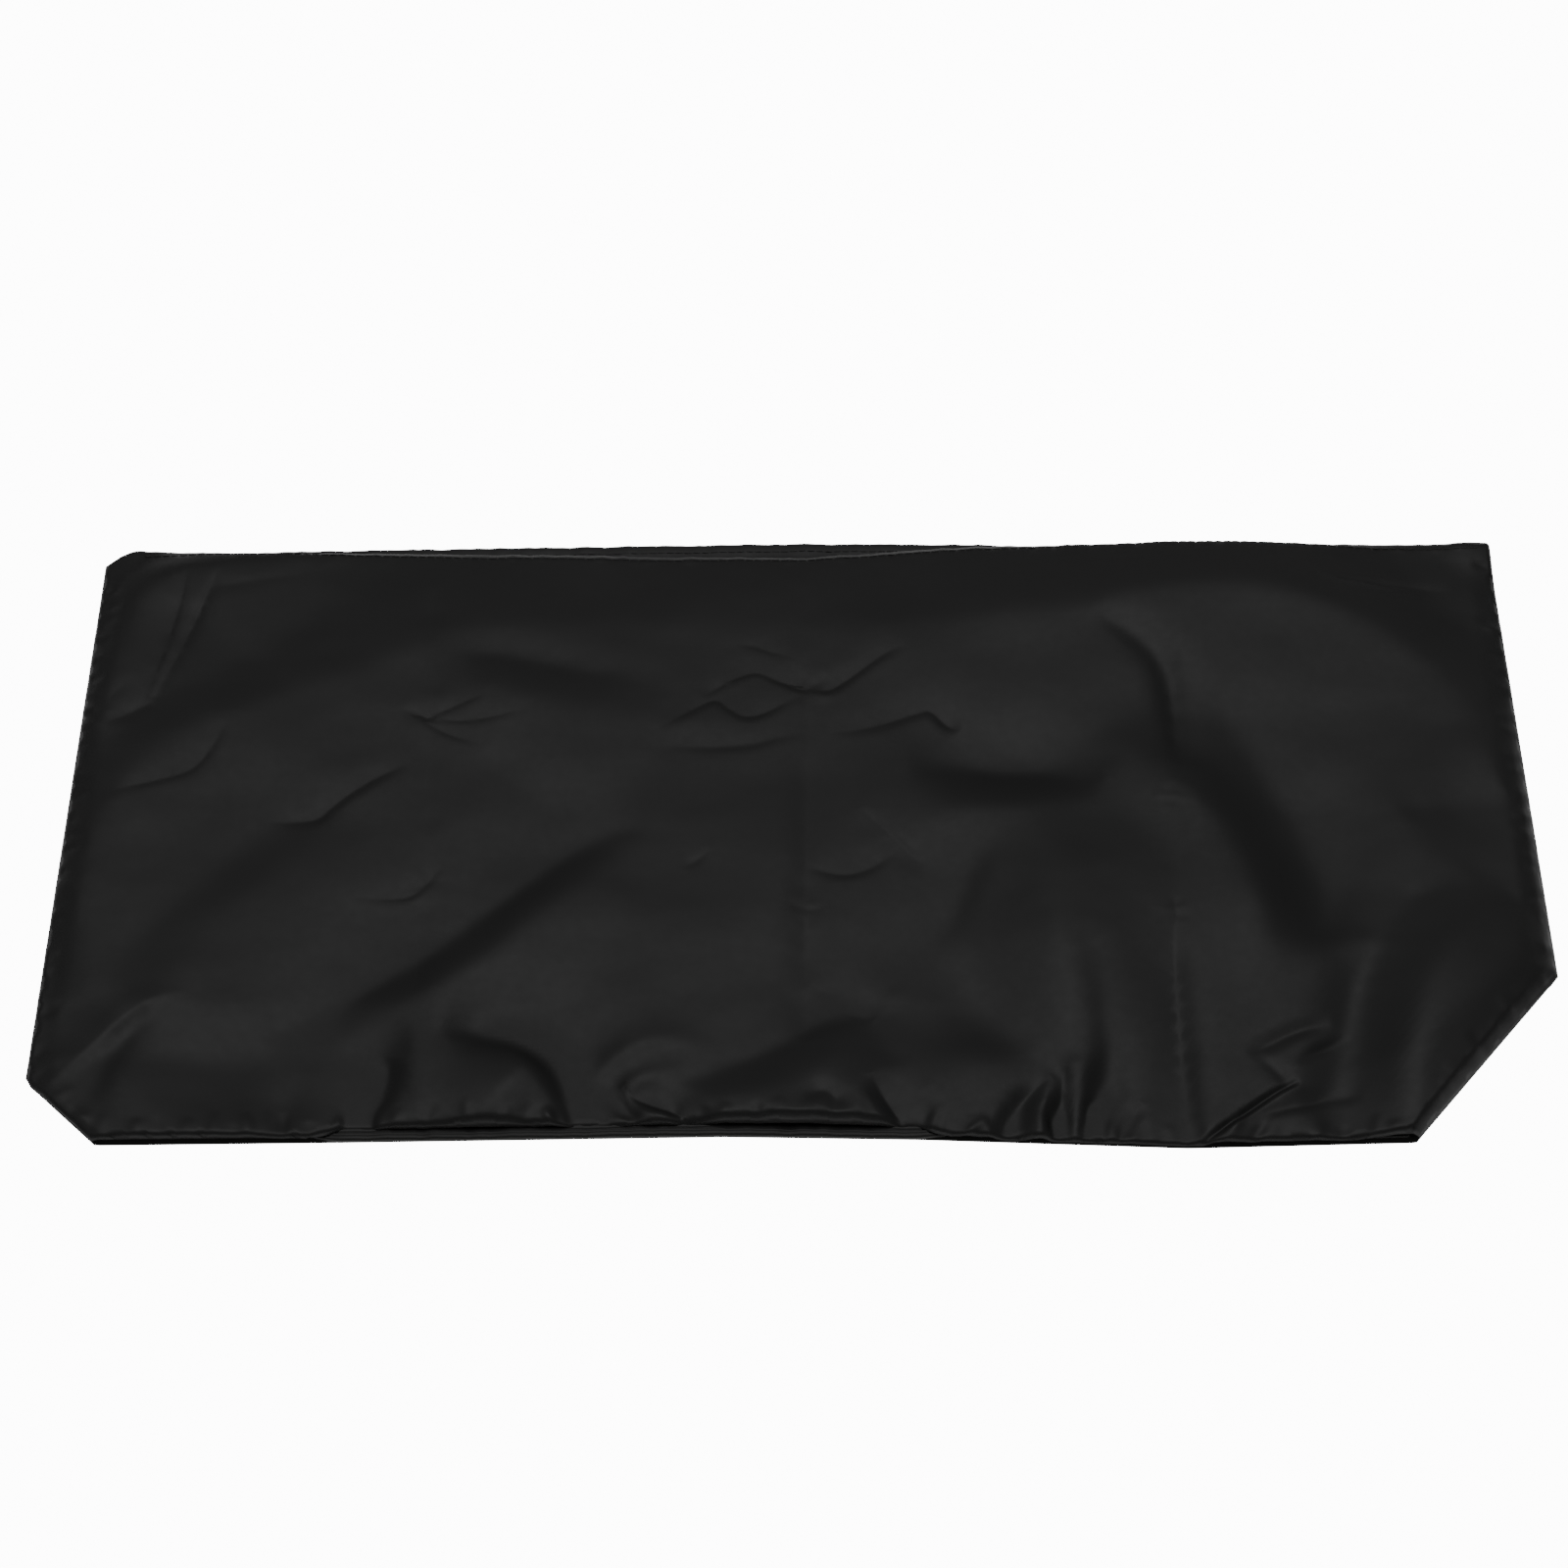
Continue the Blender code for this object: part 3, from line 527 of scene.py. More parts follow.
class Relief:
    """Heights on an even grid of points."""

    def __init__(self, step, margin=6):
        self.step = step
        self.xs, self.ys = [np.arange(-size / 2 - margin, size / 2 + margin + step, step)
                            for size in (WIDTH, DEPTH)]
        self.x, self.y = np.meshgrid(self.xs, self.ys)
        self.height = np.zeros(self.x.shape)

    def soften(self, width):
        """Evens out the heights over about this width."""
        count = int(math.ceil(3 * width / self.step))
        places = np.arange(-count, count + 1) * self.step
        weights = np.exp(-0.5 * (places / width) ** 2)
        weights /= weights.sum()
        for axis in (0, 1):
            margin = [(count, count) if axis == other else (0, 0) for other in (0, 1)]
            padded = np.pad(self.height, margin, "edge")
            self.height = np.apply_along_axis(np.convolve, axis, padded, weights, "valid")

    def at(self, x, y):
        """The height at each point, evenly between the grid's own."""
        across = np.clip((x - self.xs[0]) / self.step, 0, len(self.xs) - 1.001)
        down = np.clip((y - self.ys[0]) / self.step, 0, len(self.ys) - 1.001)
        i, j = across.astype(int), down.astype(int)
        u, v = across - i, down - j
        low = self.height[j, i] * (1 - u) + self.height[j, i + 1] * u
        high = self.height[j + 1, i] * (1 - u) + self.height[j + 1, i + 1] * u
        return low * (1 - v) + high * v


def distance_to_seam(x, y):
    """Distance inwards from the two sides and the two turned-under near corners."""
    near = along(NEAR_EDGE, x)
    inwards = np.minimum(x + HALF, HALF - x)
    for corner, across in ((NEAR_LEFT, x + HALF), (NEAR_RIGHT, HALF - x)):
        length = math.hypot(corner.along, corner.across)
        inwards = np.minimum(inwards, (corner.along * (across - corner.across)
                                       + corner.across * (y - near)) / length)
    return inwards


def side_limits(from_near, inset):
    """The cover's left and right limits at this distance from its near edge."""
    def turned_in(corner, distance):
        return corner.across * np.maximum(0.0, 1.0 - distance / corner.along)

    left = -HALF + inset + turned_in(NEAR_LEFT, from_near) + turned_in(FAR_LEFT, DEPTH - from_near)
    return left, HALF - inset - turned_in(NEAR_RIGHT, from_near)


def front_near(x):
    """Course of the front panel's near edge."""
    return along(NEAR_EDGE, x) + along(NEAR_SETBACK, x)


def front_far(x):
    """Course of the front panel's far edge."""
    return along(FAR_EDGE, x) - along(FAR_SETBACK, x)


def held_up(x):
    """1 where the gusset shows along the near edge and holds the front panel up, 0 elsewhere."""
    return along(NEAR_SETBACK, x) / HELD_SETBACK


def turned_edge(distance, turn):
    """How far an edge turns down, in a quarter round, at this distance from its end."""
    left = np.clip(1.0 - distance / turn.width, 0.0, 1.0)
    # A little short of a whole quarter, which would end upright
    return turn.drop * (1.0 - np.sqrt(1.0 - 0.96 * left * left))


def faded(distance, fade):
    """How much of a fade is over at this distance: 0 at its start, 1 at its end."""
    return (distance - fade.start) / fade.width


def front_height(x, y, relief, creases, roll):
    """Height of the front panel's upper side above the table."""
    seam = distance_to_seam(x, y)
    from_near = y - along(NEAR_EDGE, x)
    from_far = front_far(x) - y
    side = np.minimum(x + HALF, HALF - x) - FRONT_INSET
    height = FRONT_TOP - SIDE_DROP * ease(1.0 - side / roll)
    height += SEAM_RISE * ease(1.0 - np.minimum(seam, from_near) / SEAM_RISE_REACH)
    held = held_up(x)
    near_fade = Fade(*[loose + (up - loose) * held for loose, up in zip(LOOSE_FADE, HELD_FADE)])
    inside = np.minimum(faded(np.minimum(seam, from_far), EDGE_FADE), faded(from_near, near_fade))
    height += relief.at(x, y) * ease(inside) + creases
    above = height - LOWEST
    height = LOWEST + 0.5 * (above + np.sqrt(above * above + LOWEST_SOFTNESS))
    right = ease(0.5 * (x / RIGHT_HEM_REACH - 1.0)) * ease(2.0 * seam / RIGHT_HEM_REACH)
    height += RIGHT_HEM_LIFT * ease(1.0 - from_far / RIGHT_HEM_REACH) * right
    corner = np.hypot(x - HALF, from_far)
    height += CORNER_LIFT * ease(1.0 - corner / CORNER_LIFT_REACH)
    height -= turned_edge(seam - FRONT_INSET, SEAM_TURN)
    height -= turned_edge(y - front_near(x) - FRONT_INSET, SEAM_TURN)
    height -= turned_edge(from_far, HEM_TURN)
    return height


def seam_path(inset):
    """The front panel's seam from the far left corner round the near end to the far right one."""
    left, right = -HALF + inset, HALF - inset
    turns = sorted([x for x, _ in NEAR_SETBACK] + [NEAR_EDGE[2][0], NEAR_EDGE[4][0]])
    points = [(left, DEPTH / 2 - FAR_LEFT.along), (left, NEAR_LEFT.along - DEPTH / 2)]
    for x in (-HALF + NEAR_LEFT.across, *turns, HALF - NEAR_RIGHT.across):
        points.append((x, float(front_near(x)) + inset))
    points += [(right, NEAR_RIGHT.along - DEPTH / 2), (right, DEPTH / 2 - 3)]
    return [Vector(point) for point in points]


def strides(start, stop, stride):
    """Places from start until stop; stride() gives each step."""
    place = start
    while place < stop:
        yield place
        place += stride()


def walk(path, spacing):
    """Places along a path, each with the direction inwards; spacing() gives each step."""
    left_over = spacing()
    for start, end in zip(path, path[1:]):
        run = (end - start).length
        ahead = (end - start) / run
        place = left_over
        while place < run:
            yield start + ahead * place, Vector((-ahead.y, ahead.x))
            place += spacing()
        left_over = place - run


def seam_puckers():
    """Short ridges that the seam gathers along the front panel's sides and near end."""
    chance = random.Random(11)
    folds = []
    for point, inwards in walk(seam_path(FRONT_INSET), lambda: chance.uniform(5.0, 12.0)):
        reach = chance.uniform(4.0, 10.0)
        rise = chance.choice((1, 1, -1)) * chance.uniform(0.15, 0.45)
        aside = Vector((inwards.y, -inwards.x)) * chance.uniform(-0.35, 0.35)
        middle = point + (inwards + aside) * reach * 0.5
        end = point + (inwards + aside * 1.3) * reach
        width = chance.uniform(1.6, 3.0)
        folds.append(Fold("pucker", width, width, 0.5, [
            (*(point - inwards), rise * 0.6), (*middle, rise), (*end, 0)]))
    for pleat in PLEATS:
        seam_y = float(front_near(pleat.x))
        folds.append(Fold("pleat", pleat.width, pleat.width, 0.5, [
            (pleat.x, seam_y, pleat.rise * 0.7),
            (pleat.x + pleat.lean * 0.4, seam_y + pleat.reach * 0.45, pleat.rise),
            (pleat.x + pleat.lean, seam_y + pleat.reach, 0)]))
    return folds


def hem_puckers():
    """Small waves that the hem's stitching draws in along the mouth."""
    chance = random.Random(23)
    folds = []
    for x in strides(-HALF + 14, HALF - 8, lambda: chance.uniform(3.5, 7.0)):
        y = float(front_far(x))
        reach = chance.uniform(3.0, 6.5)
        rise = chance.choice((1, -1)) * chance.uniform(0.1, 0.3)
        lean = chance.uniform(-1.0, 1.0)
        folds.append(Fold("hem pucker", 1.6, 1.6, 0.5, [
            (x, y + 1, rise), (x + 0.4 * lean, y - 0.5 * reach, rise), (x + lean, y - reach, 0)]))
    return folds


def star_folds():
    """Short creases that spread from each crossing of the packing creases."""
    chance = random.Random(5)
    folds = []
    for star in STARS:
        turn = chance.uniform(0, math.tau)
        for arm in range(star.arms):
            angle = turn + math.tau * (arm + chance.uniform(-0.3, 0.3)) / star.arms
            reach = star.reach * chance.uniform(0.6, 1.1)
            bend = chance.uniform(-0.35, 0.35)
            rise = star.depth * (1 if arm % 2 else -1)
            route = [(star.x, star.y, 0.5 * rise)]
            for way, across, down, height in ((angle, 0.45, 0.35, rise), (angle + bend, 1.0, 0.8, 0)):
                route.append((star.x + across * reach * math.cos(way),
                              star.y + down * reach * math.sin(way), height))
            folds.append(Fold("star", 1.8, 2.2, 0.4, route))
    return folds


def crumple(x, y):
    """The cloth's own slight unevenness, in slow and in fine waves."""
    return sum(wave.rise * np.array([noise.noise(Vector((px / wave.across, py / wave.along, wave.seed)))
                                     for px, py in zip(x, y)]) for wave in WAVES)


class Socket:
    """A shader socket that can be used in sums: each operator adds the Math node that works it out."""

    def __init__(self, finish, socket):
        self.finish = finish
        self.socket = socket

    def maths(self, operation, *values):
        return self.finish.node("ShaderNodeMath", {"operation": operation}, dict(enumerate(values)))

    def __add__(self, other):
        return self.maths("ADD", self, other)

    def __mul__(self, other):
        return self.maths("MULTIPLY", self, other)

    __radd__ = __add__
    __rmul__ = __mul__


class Finish:
    """A material as it is being made up."""

    def __init__(self, name, **constants):
        self.material = bpy.data.materials.new(name)
        self.material.use_nodes = True
        self.tree = self.material.node_tree
        self.shader = self.tree.nodes["Principled BSDF"]
        for socket, value in constants.items():
            self.shader.inputs[socket.replace("_", " ")].default_value = value

    def node(self, kind, settings=None, inputs=None, output=0):
        """Adds a node with these settings and inputs, and gives one of its outputs."""
        made = self.tree.nodes.new(kind)
        for name, value in (settings or {}).items():
            setattr(made, name, value)
        for name, value in (inputs or {}).items():
            if isinstance(value, Socket):
                self.tree.links.new(value.socket, made.inputs[name])
            else:
                made.inputs[name].default_value = value
        return Socket(self, made.outputs[output])

    def mix(self, factor, low, high):
        """A colour between two, by a factor."""
        return self.node("ShaderNodeMix", {"data_type": "RGBA"}, {0: factor, 6: low, 7: high}, output=2)

    def feed(self, **sockets):
        """Links what varies over the surface to the shader."""
        for name, value in sockets.items():
            self.tree.links.new(value.socket, self.shader.inputs[name.replace("_", " ")])


def rgba(colour):
    return (*colour, 1.0)


def cloth_material(context):
    """Black polyester in a fine plain weave, under a thin satin coating."""
    name = "black_coated_cloth"
    if name in bpy.data.materials:
        return bpy.data.materials[name]
    colours = context.scene.cover_finish
    finish = Finish(name, Specular_IOR_Level=0.4)
    place = finish.node("ShaderNodeTexCoord", output="Object")
    axes = [finish.node("ShaderNodeSeparateXYZ", inputs={0: place}, output=axis) for axis in "XY"]
    turn = math.tau / (2 * colours.threads)
    warp, weft = [(axis * turn).maths("SINE") for axis in axes]
    weave = warp.maths("ABSOLUTE") + weft.maths("ABSOLUTE")
    crossing = warp * weft
    over = crossing.maths("GREATER_THAN", crossing, 0.0)
    slow = finish.node("ShaderNodeTexNoise", inputs={"Vector": place, "Scale": 26.0, "Detail": 3.0})
    mottle = finish.node("ShaderNodeTexNoise", inputs={"Vector": place, "Scale": 340.0, "Detail": 3.0})
    worn = finish.node("ShaderNodeAttribute", {"attribute_name": "worn"}, output="Fac")
    streaks = finish.node("ShaderNodeTexNoise", inputs={"Vector": place, "Scale": 900.0, "Detail": 2.0})
    wear = worn * streaks.maths("SMOOTH_MIN", streaks, 0.62, 0.2)
    finish.feed(
        Base_Color=finish.mix(wear, rgba(colours.black), rgba(colours.worn)),
        Roughness=slow * 0.10 + mottle * 0.08 + (colours.satin - 0.09),
        Normal=finish.node("ShaderNodeBump", inputs={
            "Strength": 0.6, "Distance": colours.relief, "Height": weave * 0.5 + over * 0.25 + mottle}),
    )
    return finish.material


def thread_material(context):
    """Twisted black polyester thread."""
    name = "black_thread"
    if name in bpy.data.materials:
        return bpy.data.materials[name]
    colours = context.scene.cover_finish
    finish = Finish(name, Specular_IOR_Level=0.5)
    place = finish.node("ShaderNodeTexCoord", output="Object")
    twist = finish.node("ShaderNodeTexWave", {"bands_direction": "DIAGONAL"},
                        {"Vector": place, "Scale": 1400.0, "Distortion": 0.4})
    finish.feed(
        Base_Color=finish.mix(twist, rgba(colours.thread), rgba([2.2 * part for part in colours.thread])),
        Roughness=twist * 0.15 + 0.4,
        Normal=finish.node("ShaderNodeBump", inputs={
            "Strength": 0.5, "Distance": 0.05 * MM, "Height": twist}),
    )
    return finish.material


def new_object(name, bm, material, smooth=True):
    """An object of a finished bmesh, at the origin."""
    mesh = bpy.data.meshes.new(name)
    bm.to_mesh(mesh)
    bm.free()
    if smooth:
        mesh.shade_smooth()
    mesh.materials.append(material)
    obj = bpy.data.objects.new(name, mesh)
    bpy.context.scene.collection.objects.link(obj)
    return obj


def join_cover(obj, *nodes):
    """Makes a finished object a piece of the cover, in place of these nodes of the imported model."""
    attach(obj, BODY)
    if nodes:
        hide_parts(*nodes)


def give_thickness(obj, thickness):
    """Gives a sheet its thickness below the side that was shaped."""
    solid = obj.modifiers.new("cloth thickness", "SOLIDIFY")
    solid.thickness = thickness
    solid.offset = -1.0
    solid.use_even_offset = False


def panel_cut(sizes):
    """The front or back panel's size as cut."""
    across = WIDTH * MM + 2 * sizes.seam_allowance
    return across, sizes.panel_height + sizes.seam_allowance + 2 * sizes.hem


def flat_grid(columns, rows):
    """A level square grid, one unit wide, round the origin."""
    bm = bmesh.new()
    bmesh.ops.create_grid(bm, x_segments=columns, y_segments=rows, size=0.5)
    return bm


def points_of(bm, unit=1.0):
    """The x and y of each point, in this unit."""
    return np.array([vert.co[:2] for vert in bm.verts]).T / unit


def move_points(bm, x, y, z):
    """Puts each point at its place in millimetres."""
    for vert, place in zip(bm.verts, np.stack([x, y, z], 1) * MM):
        vert.co = place


def refine(bm, folds, reach):
    """Cuts each face near one of these folds' routes into four."""
    x, y = points_of(bm, MM)
    closeness = np.zeros(x.shape, bool)
    for fold in folds:
        curve = curve_through(fold.route, 4)
        chosen = np.flatnonzero(close_to(curve, x, y, reach))
        gap = np.full(len(chosen), np.inf)
        for ax, ay, _ in curve:
            gap = np.minimum(gap, np.hypot(x[chosen] - ax, y[chosen] - ay))
        closeness[chosen[gap < reach]] = True
    bm.verts.ensure_lookup_table()
    bm.verts.index_update()
    edges = set()
    for face in bm.faces:
        if any(closeness[vert.index] for vert in face.verts):
            edges.update(face.edges)
    bmesh.ops.subdivide_edges(bm, edges=list(edges), cuts=1, use_grid_fill=True)


class COVER_OT_stage(bpy.types.Operator):
    """Make the pale floor, the soft light and the camera"""
    bl_idname = "cover.stage"
    bl_label = "Stage"

    def execute(self, context):
        studio = context.scene.cover_studio
        self.make_camera(context, studio)
        self.make_floor(studio)
        self.make_light(context, studio)
        return {"FINISHED"}

    def make_camera(self, context, studio):
        aim = Vector(AIM) * MM
        data = bpy.data.cameras.new("camera")
        data.lens = studio.lens
        camera = bpy.data.objects.new("camera", data)
        context.scene.collection.objects.link(camera)
        back = Vector((0, -math.cos(studio.elevation), math.sin(studio.elevation)))
        camera.location = aim + back * studio.distance
        camera.rotation_euler = (math.pi / 2 - studio.elevation, 0, 0)
        context.scene.camera = camera

    def make_floor(self, studio):
        floor = self.make_disc("floor", "pale_floor", studio.floor)
        floor.visible_diffuse = False
        floor.visible_glossy = False
        # The white table as the cloth's edges mirror it
        mirrored = self.make_disc("mirrored_table", "table_glow", studio.glow)
        mirrored.visible_camera = False

    def make_disc(self, name, finish_name, brightness):
        finish = Finish(finish_name, Base_Color=(0.8, 0.8, 0.8, 1), Roughness=0.8,
                        Emission_Color=(1, 1, 1, 1), Emission_Strength=brightness)
        bm = bmesh.new()
        bmesh.ops.create_circle(bm, cap_ends=True, segments=64, radius=20)
        disc = new_object(name, bm, finish.material, smooth=False)
        return disc

    def make_light(self, context, studio):
        world = bpy.data.worlds.new("studio")
        world.use_nodes = True
        background = world.node_tree.nodes["Background"]
        background.inputs["Color"].default_value = (1, 1, 1, 1)
        background.inputs["Strength"].default_value = studio.fill
        context.scene.world = world
        data = bpy.data.lights.new("overhead", "AREA")
        data.shape = "RECTANGLE"
        data.size, data.size_y = LAMP_SIZE
        data.energy = studio.lamp
        lamp = bpy.data.objects.new("overhead", data)
        context.scene.collection.objects.link(lamp)
        above = Vector(LAMP_WAY).normalized()
        lamp.location = above * LAMP_DISTANCE
        lamp.rotation_euler = above.to_track_quat("Z", "Y").to_euler()


class COVER_OT_front_panel(bpy.types.Operator):
    """Make the front panel, which lies uppermost with its folds and creases"""
    bl_idname = "cover.front_panel"
    bl_label = "Front panel"

    def execute(self, context):
        sizes = context.scene.cover_sizes
        relief = self.broad_folds(sizes)
        sharp = CREASES + star_folds() + seam_puckers() + hem_puckers()
        rim = [Fold("rim", 1, 1, 1, [(*point, 0) for point in seam_path(FRONT_INSET)]),
               Fold("hem", 1, 1, 1, [(x, float(front_far(x)), 0) for x, _ in FAR_EDGE])]
        bm = self.flat_panel()
        refine(bm, sharp + rim + [fold for fold in FOLDS if fold.round < BROAD_ROUND], FINE_REACH)
        refine(bm, sharp + rim, FINER_REACH)
        refine(bm, [fold for fold in CREASES if fold.round < SHARP_ROUND], FINEST_REACH)
        x, y = points_of(bm, MM)
        fine = np.zeros(x.shape)
        for fold in sharp:
            add_fold(fold, x, y, fine)
        # The coating is worn along the three packing creases, which stand first in their table
        packing = np.zeros(x.shape)
        for fold in CREASES[:3]:
            add_fold(fold._replace(left=WORN_REACH, right=WORN_REACH, round=0.3), x, y, packing)
        calm = ease(distance_to_seam(x, y) / CALM_REACH)
        z = front_height(x, y, relief, fine + crumple(x, y) * calm, sizes.roll / MM)
        move_points(bm, x, y, z)
        obj = new_object("front_panel_cloth", bm, cloth_material(context))
        worn = obj.data.attributes.new("worn", "FLOAT", "POINT")
        worn.data.foreach_set("value", np.clip(-packing, 0, 1).astype(np.float32))
        give_thickness(obj, sizes.cloth)
        join_cover(obj, "front_panel")
        cut = panel_cut(sizes)
        return {"FINISHED"}

    def broad_folds(self, sizes):
        relief = Relief(step=1.25)
        for fold in FOLDS:
            add_fold(fold, relief.x, relief.y, relief.height)
        relief.soften(width=1.0)
        relief.height *= sizes.fold_height
        return relief

    def flat_panel(self):
        """The panel's outline as a level grid."""
        bm = flat_grid(*FRONT_GRID)
        across, down = points_of(bm)
        from_near = (down + 0.5) * DEPTH
        left, right = side_limits(from_near, FRONT_INSET)
        x = left + (right - left) * (across + 0.5)
        near = front_near(x) + FRONT_INSET
        y = near + (front_far(x) - near) * from_near / DEPTH
        move_points(bm, x, y, np.zeros(x.shape))
        return bm


class COVER_OT_back_panel(bpy.types.Operator):
    """Make the back panel, which lies flat on the table with its hem showing past the front"""
    bl_idname = "cover.back_panel"
    bl_label = "Back panel"

    def execute(self, context):
        sizes = context.scene.cover_sizes
        hem = sizes.hem / MM
        bm = flat_grid(*BACK_GRID)
        across, down = points_of(bm)
        # The rows crowd towards the hem, where the cloth is doubled and gathered
        share = 1.0 - (0.5 - down) ** 1.6
        from_near = share * DEPTH
        left, right = side_limits(from_near, BACK_INSET)
        x = left + (right - left) * (across + 0.5)
        near, far = along(NEAR_EDGE, x) + BACK_INSET, along(FAR_EDGE, x)
        y = near + (far - near) * share
        waves = np.zeros(x.shape)
        for fold in self.hem_waves():
            add_fold(fold, x, y, waves)
        z = BACK_LEVEL + np.maximum(waves, -BACK_DIP)
        z += BACK_HEM_STEP * ease(1.4 - (far - y) / hem)
        z += BACK_SEAM_STEP * ease(1 - distance_to_seam(x, y) / BACK_SEAM_REACH)
        move_points(bm, x, y, z)
        obj = new_object("back_panel_cloth", bm, cloth_material(context))
        give_thickness(obj, sizes.cloth)
        join_cover(obj, "back_panel")
        cut = panel_cut(sizes)
        return {"FINISHED"}

    def hem_waves(self):
        """Puckers along the stitched hem."""
        chance = random.Random(31)
        folds = []
        for x in strides(-HALF + 16, HALF - 6, lambda: chance.uniform(4.0, 9.0)):
            y = float(along(FAR_EDGE, x))
            rise = chance.choice((1, 1, -1)) * chance.uniform(0.15, 0.4)
            route = [(x, y + 1, rise), (x, y - 3, rise), (x, y - 8, 0)]
            folds.append(Fold("hem wave", 1.8, 1.8, 0.5, route))
        return folds


def course(stations, reach, share):
    """How far in and how high a folded run lies at these shares of the way round its fold."""
    rounds = [station.round for station in stations]
    into = [reach if station.into is None else station.into for station in stations]
    heights = [station.height for station in stations]
    return np.interp(share, rounds, into), np.interp(share, rounds, heights)


class COVER_OT_gusset(bpy.types.Operator):
    """Make the gusset, folded inwards between the panels along the sides and the near end"""
    bl_idname = "cover.gusset"
    bl_label = "Gusset"

    def execute(self, context):
        sizes = context.scene.cover_sizes
        bm = bmesh.new()
        self.near_run(bm, sizes)
        for side in (-1, 1):
            self.side_run(bm, sizes, side)
        obj = new_object("gusset_cloth", bm, cloth_material(context))
        give_thickness(obj, GUSSET_CLOTH * MM)
        join_cover(obj, "gusset")
        strip = WIDTH * MM + 2 * sizes.panel_height
        sizes.gusset_width + 2 * sizes.seam_allowance
        strip + 4 * sizes.hem
        return {"FINISHED"}

    def add_strip(self, bm, grid, place):
        """Adds a folded sheet: place(share along it, share round its fold) gives a point."""
        strip = flat_grid(*grid)
        across, down = points_of(strip)
        move_points(strip, *place(across + 0.5, down + 0.5))
        mesh = bpy.data.meshes.new("strip")
        strip.to_mesh(mesh)
        strip.free()
        bm.from_mesh(mesh)
        bpy.data.meshes.remove(mesh)

    def near_run(self, bm, sizes):
        """The run along the near end. Part of it bulges out past the front panel's seam."""
        reach = sizes.gusset_width / MM / 2 - 10
        chance = random.Random(3)
        bulges = []
        for x in strides(-150, 50, lambda: chance.uniform(4, 10)):
            rise = chance.choice((1, -1)) * chance.uniform(0.2, 0.5)
            y = float(along(NEAR_EDGE, x))
            slant = chance.uniform(-1.5, 1.5)
            bulges.append(Fold("bulge", 1.8, 2.4, 0.4, [(x, y - 1, rise), (x + slant, y + 6, rise * 0.5)]))

        def place(share, round_fold):
            # The rows crowd towards the seam with the front panel, where the folds are narrow
            round_fold = round_fold ** 2
            inwards, z = course(NEAR_RUN, reach, round_fold)
            inner = np.clip((inwards - NEAR_RUN[0].into) / (reach - NEAR_RUN[0].into), 0, 1)
            left, right = NEAR_LEFT.across + 3 - HALF, HALF - NEAR_RIGHT.across - 3
            x = left + (right - left) * share
            x += ((HALF - reach * GUSSET_SLOPE) * (2 * share - 1) - x) * inner
            covered = 1 - held_up(x)
            y = along(NEAR_EDGE, x) + inwards + COVERED_SETBACK * covered * (inner < 0.02)
            waves = np.zeros(x.shape)
            for fold in bulges:
                add_fold(fold, x, y, waves)
            front = ease((0.055 - round_fold) / 0.02)
            z += (np.minimum(waves, BULGE_LIMIT) * (1 - covered) - COVERED_DROP * covered) * front
            return x, y, z

        self.add_strip(bm, NEAR_RUN_GRID, place)

    def side_run(self, bm, sizes, side):
        """The run along one side."""
        reach = sizes.gusset_width / MM / 2
        corner = NEAR_LEFT if side < 0 else NEAR_RIGHT

        def place(share, round_fold):
            inwards, z = course(SIDE_RUN, reach, round_fold)
            start = corner.along + (reach * GUSSET_SLOPE - corner.along) * inwards / reach + 4 - DEPTH / 2
            end = DEPTH / 2 - 12
            return side * (HALF - inwards), start + (end - start) * share, z

        self.add_strip(bm, SIDE_RUN_GRID, place)


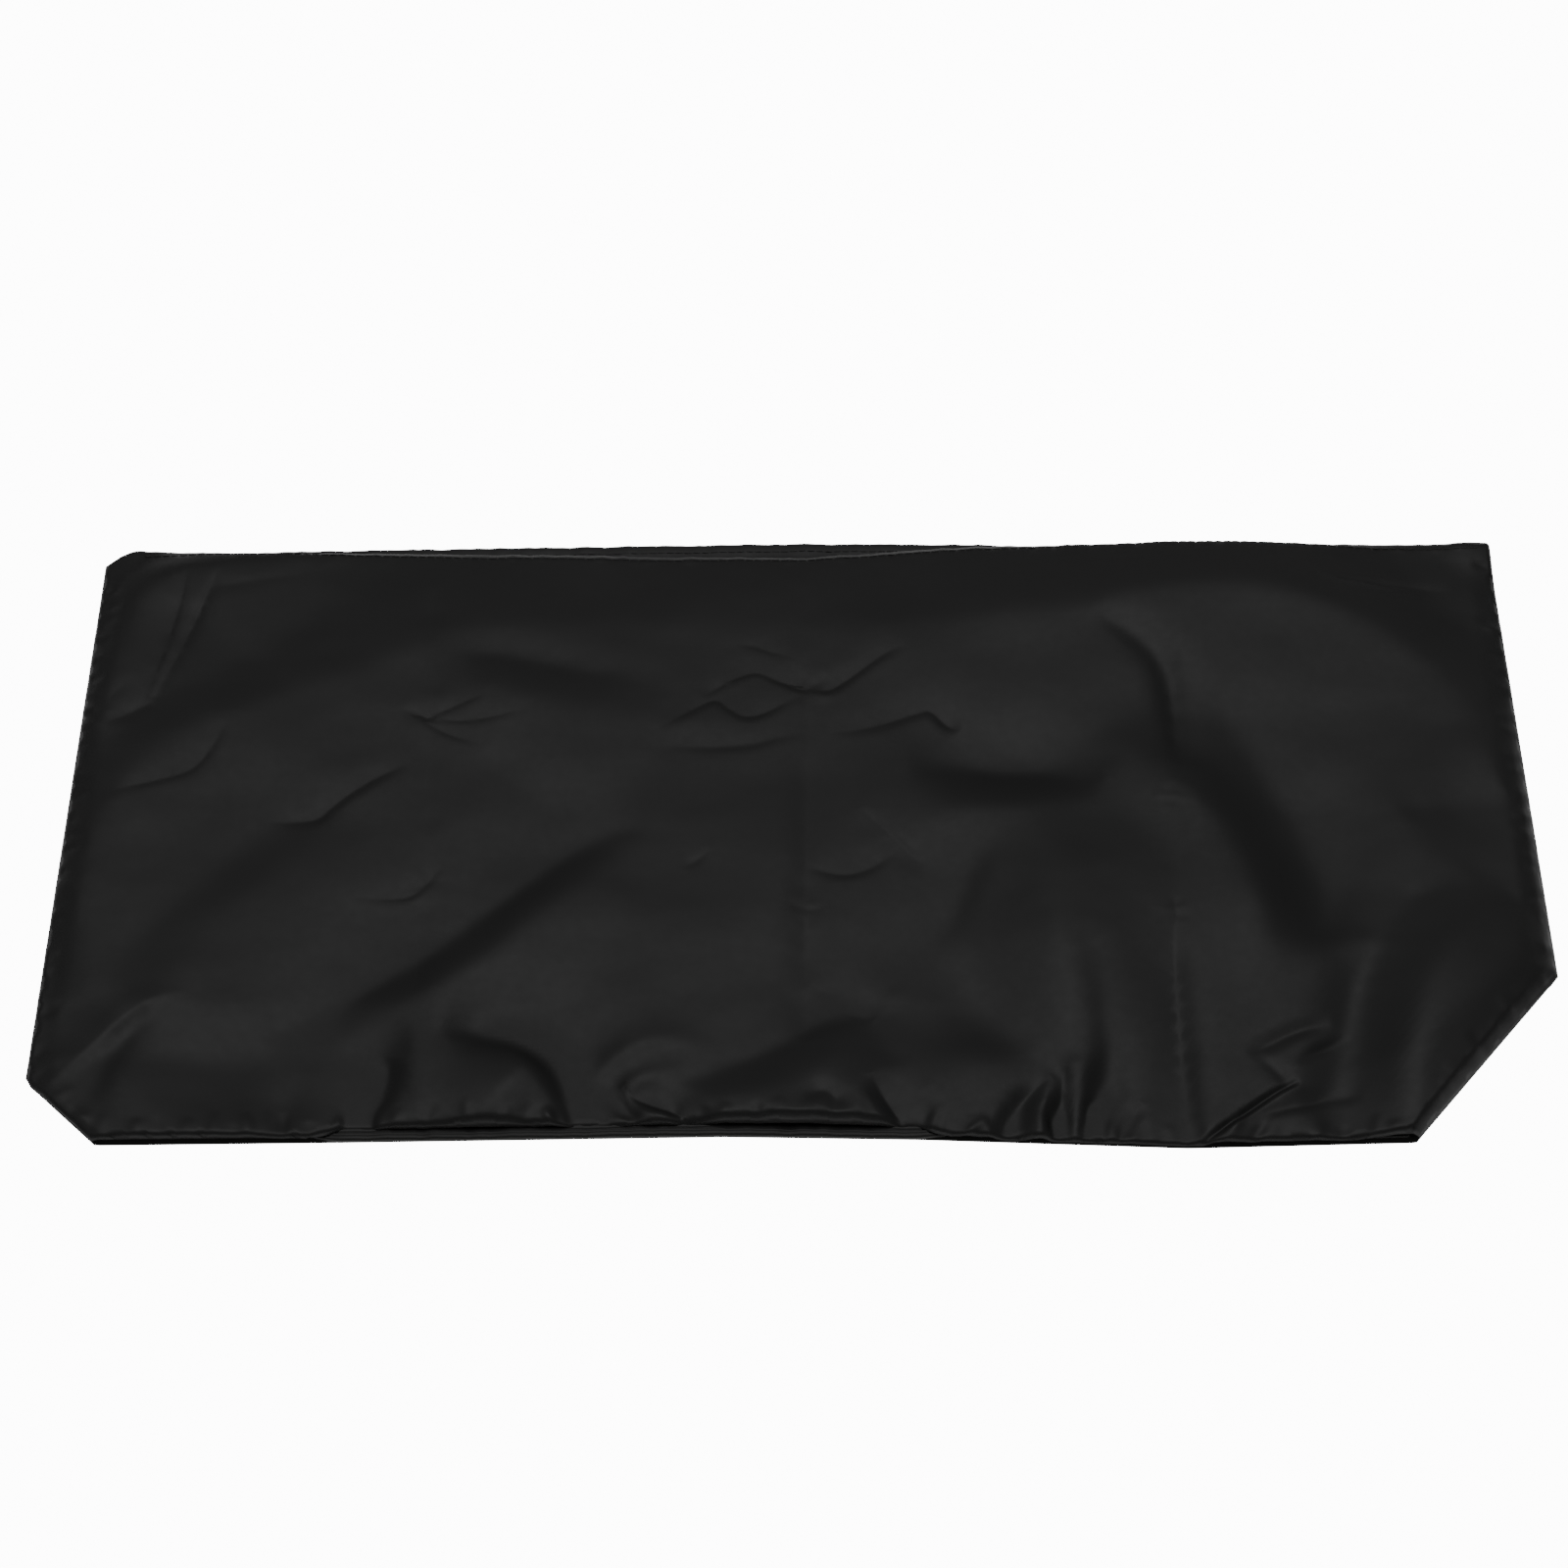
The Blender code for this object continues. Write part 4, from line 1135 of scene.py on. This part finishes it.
class COVER_OT_stitching(bpy.types.Operator):
    """Sew the rows of stitches along the hems of the mouth"""
    bl_idname = "cover.stitching"
    bl_label = "Stitching"

    def execute(self, context):
        sizes = context.scene.cover_sizes
        for panel, edge in (("front_panel", front_far), ("back_panel", lambda x: along(FAR_EDGE, x))):
            self.sew_row(context, sizes, panel, edge)
        return {"FINISHED"}

    def sew_row(self, context, sizes, panel, edge):
        """Makes one row of stitches on a panel, as one piece."""
        cloth = bpy.data.objects[panel + "_cloth"].evaluated_get(context.evaluated_depsgraph_get())
        from_edge = sizes.hem / MM - STITCH_INSIDE
        bm = bmesh.new()
        pitch = sizes.stitch * STITCH_PITCH
        for x in strides(CAD_LOW.x + ROW_START * MM, CAD_HIGH.x - ROW_END * MM, lambda: pitch):
            ends = []
            for end_x in (x, x + sizes.stitch):
                y = (float(edge(end_x / MM)) - from_edge) * MM
                hit, place, *_ = cloth.ray_cast(Vector((end_x, y, 0.1)), Vector((0, 0, -1)))
                if hit:
                    ends.append(place)
            if len(ends) == 2:
                self.add_stitch(bm, *ends, sizes.thread / 2)
        if not bm.verts:
            raise RuntimeError(f"no stitch meets the hem of {panel}")
        obj = new_object(panel + "_stitches", bm, thread_material(context))
        join_cover(obj)

    def add_stitch(self, bm, start, end, radius):
        """One stitch: a thread that dips into the cloth at both ends."""
        middle = (start + end) / 2
        run = (end - start).length
        turn = (end - start).to_track_quat("X", "Z")
        made = bmesh.ops.create_uvsphere(bm, u_segments=8, v_segments=6, radius=1.0)
        for vert in made["verts"]:
            x, y, z = vert.co
            vert.co = middle + turn @ Vector((z * run / 2, x * radius, (y + 0.3) * radius))


class COVER_PT_panel(bpy.types.Panel):
    """Lists the cover's sizes, its finish and the steps that build it"""
    bl_idname = "COVER_PT_panel"
    bl_label = "Printer Cover"
    bl_space_type = "VIEW_3D"
    bl_region_type = "UI"
    bl_category = "Printer Cover"

    def draw(self, context):
        for group in [getattr(context.scene, name) for name in GROUPS]:
            box = self.layout.box()
            for setting in group.__annotations__:
                box.prop(group, setting)
        for step in STEPS:
            self.layout.operator(step.bl_idname)


STEPS = (COVER_OT_stage, COVER_OT_back_panel, COVER_OT_gusset, COVER_OT_front_panel, COVER_OT_stitching)
GROUPS = {"cover_sizes": CoverSizes, "cover_finish": ClothFinish, "cover_studio": Studio}
CLASSES = (*GROUPS.values(), *STEPS, COVER_PT_panel)


def register():
    for cls in CLASSES:
        bpy.utils.register_class(cls)
    for name, group in GROUPS.items():
        setattr(bpy.types.Scene, name, PointerProperty(type=group))


def unregister():
    for name in GROUPS:
        delattr(bpy.types.Scene, name)
    for cls in reversed(CLASSES):
        bpy.utils.unregister_class(cls)


def main():
    register()
    bpy.ops.cover.stage()
    bpy.ops.cover.back_panel()
    bpy.ops.cover.gusset()
    bpy.ops.cover.front_panel()
    bpy.ops.cover.stitching()


if __name__ == "__main__":
    main()
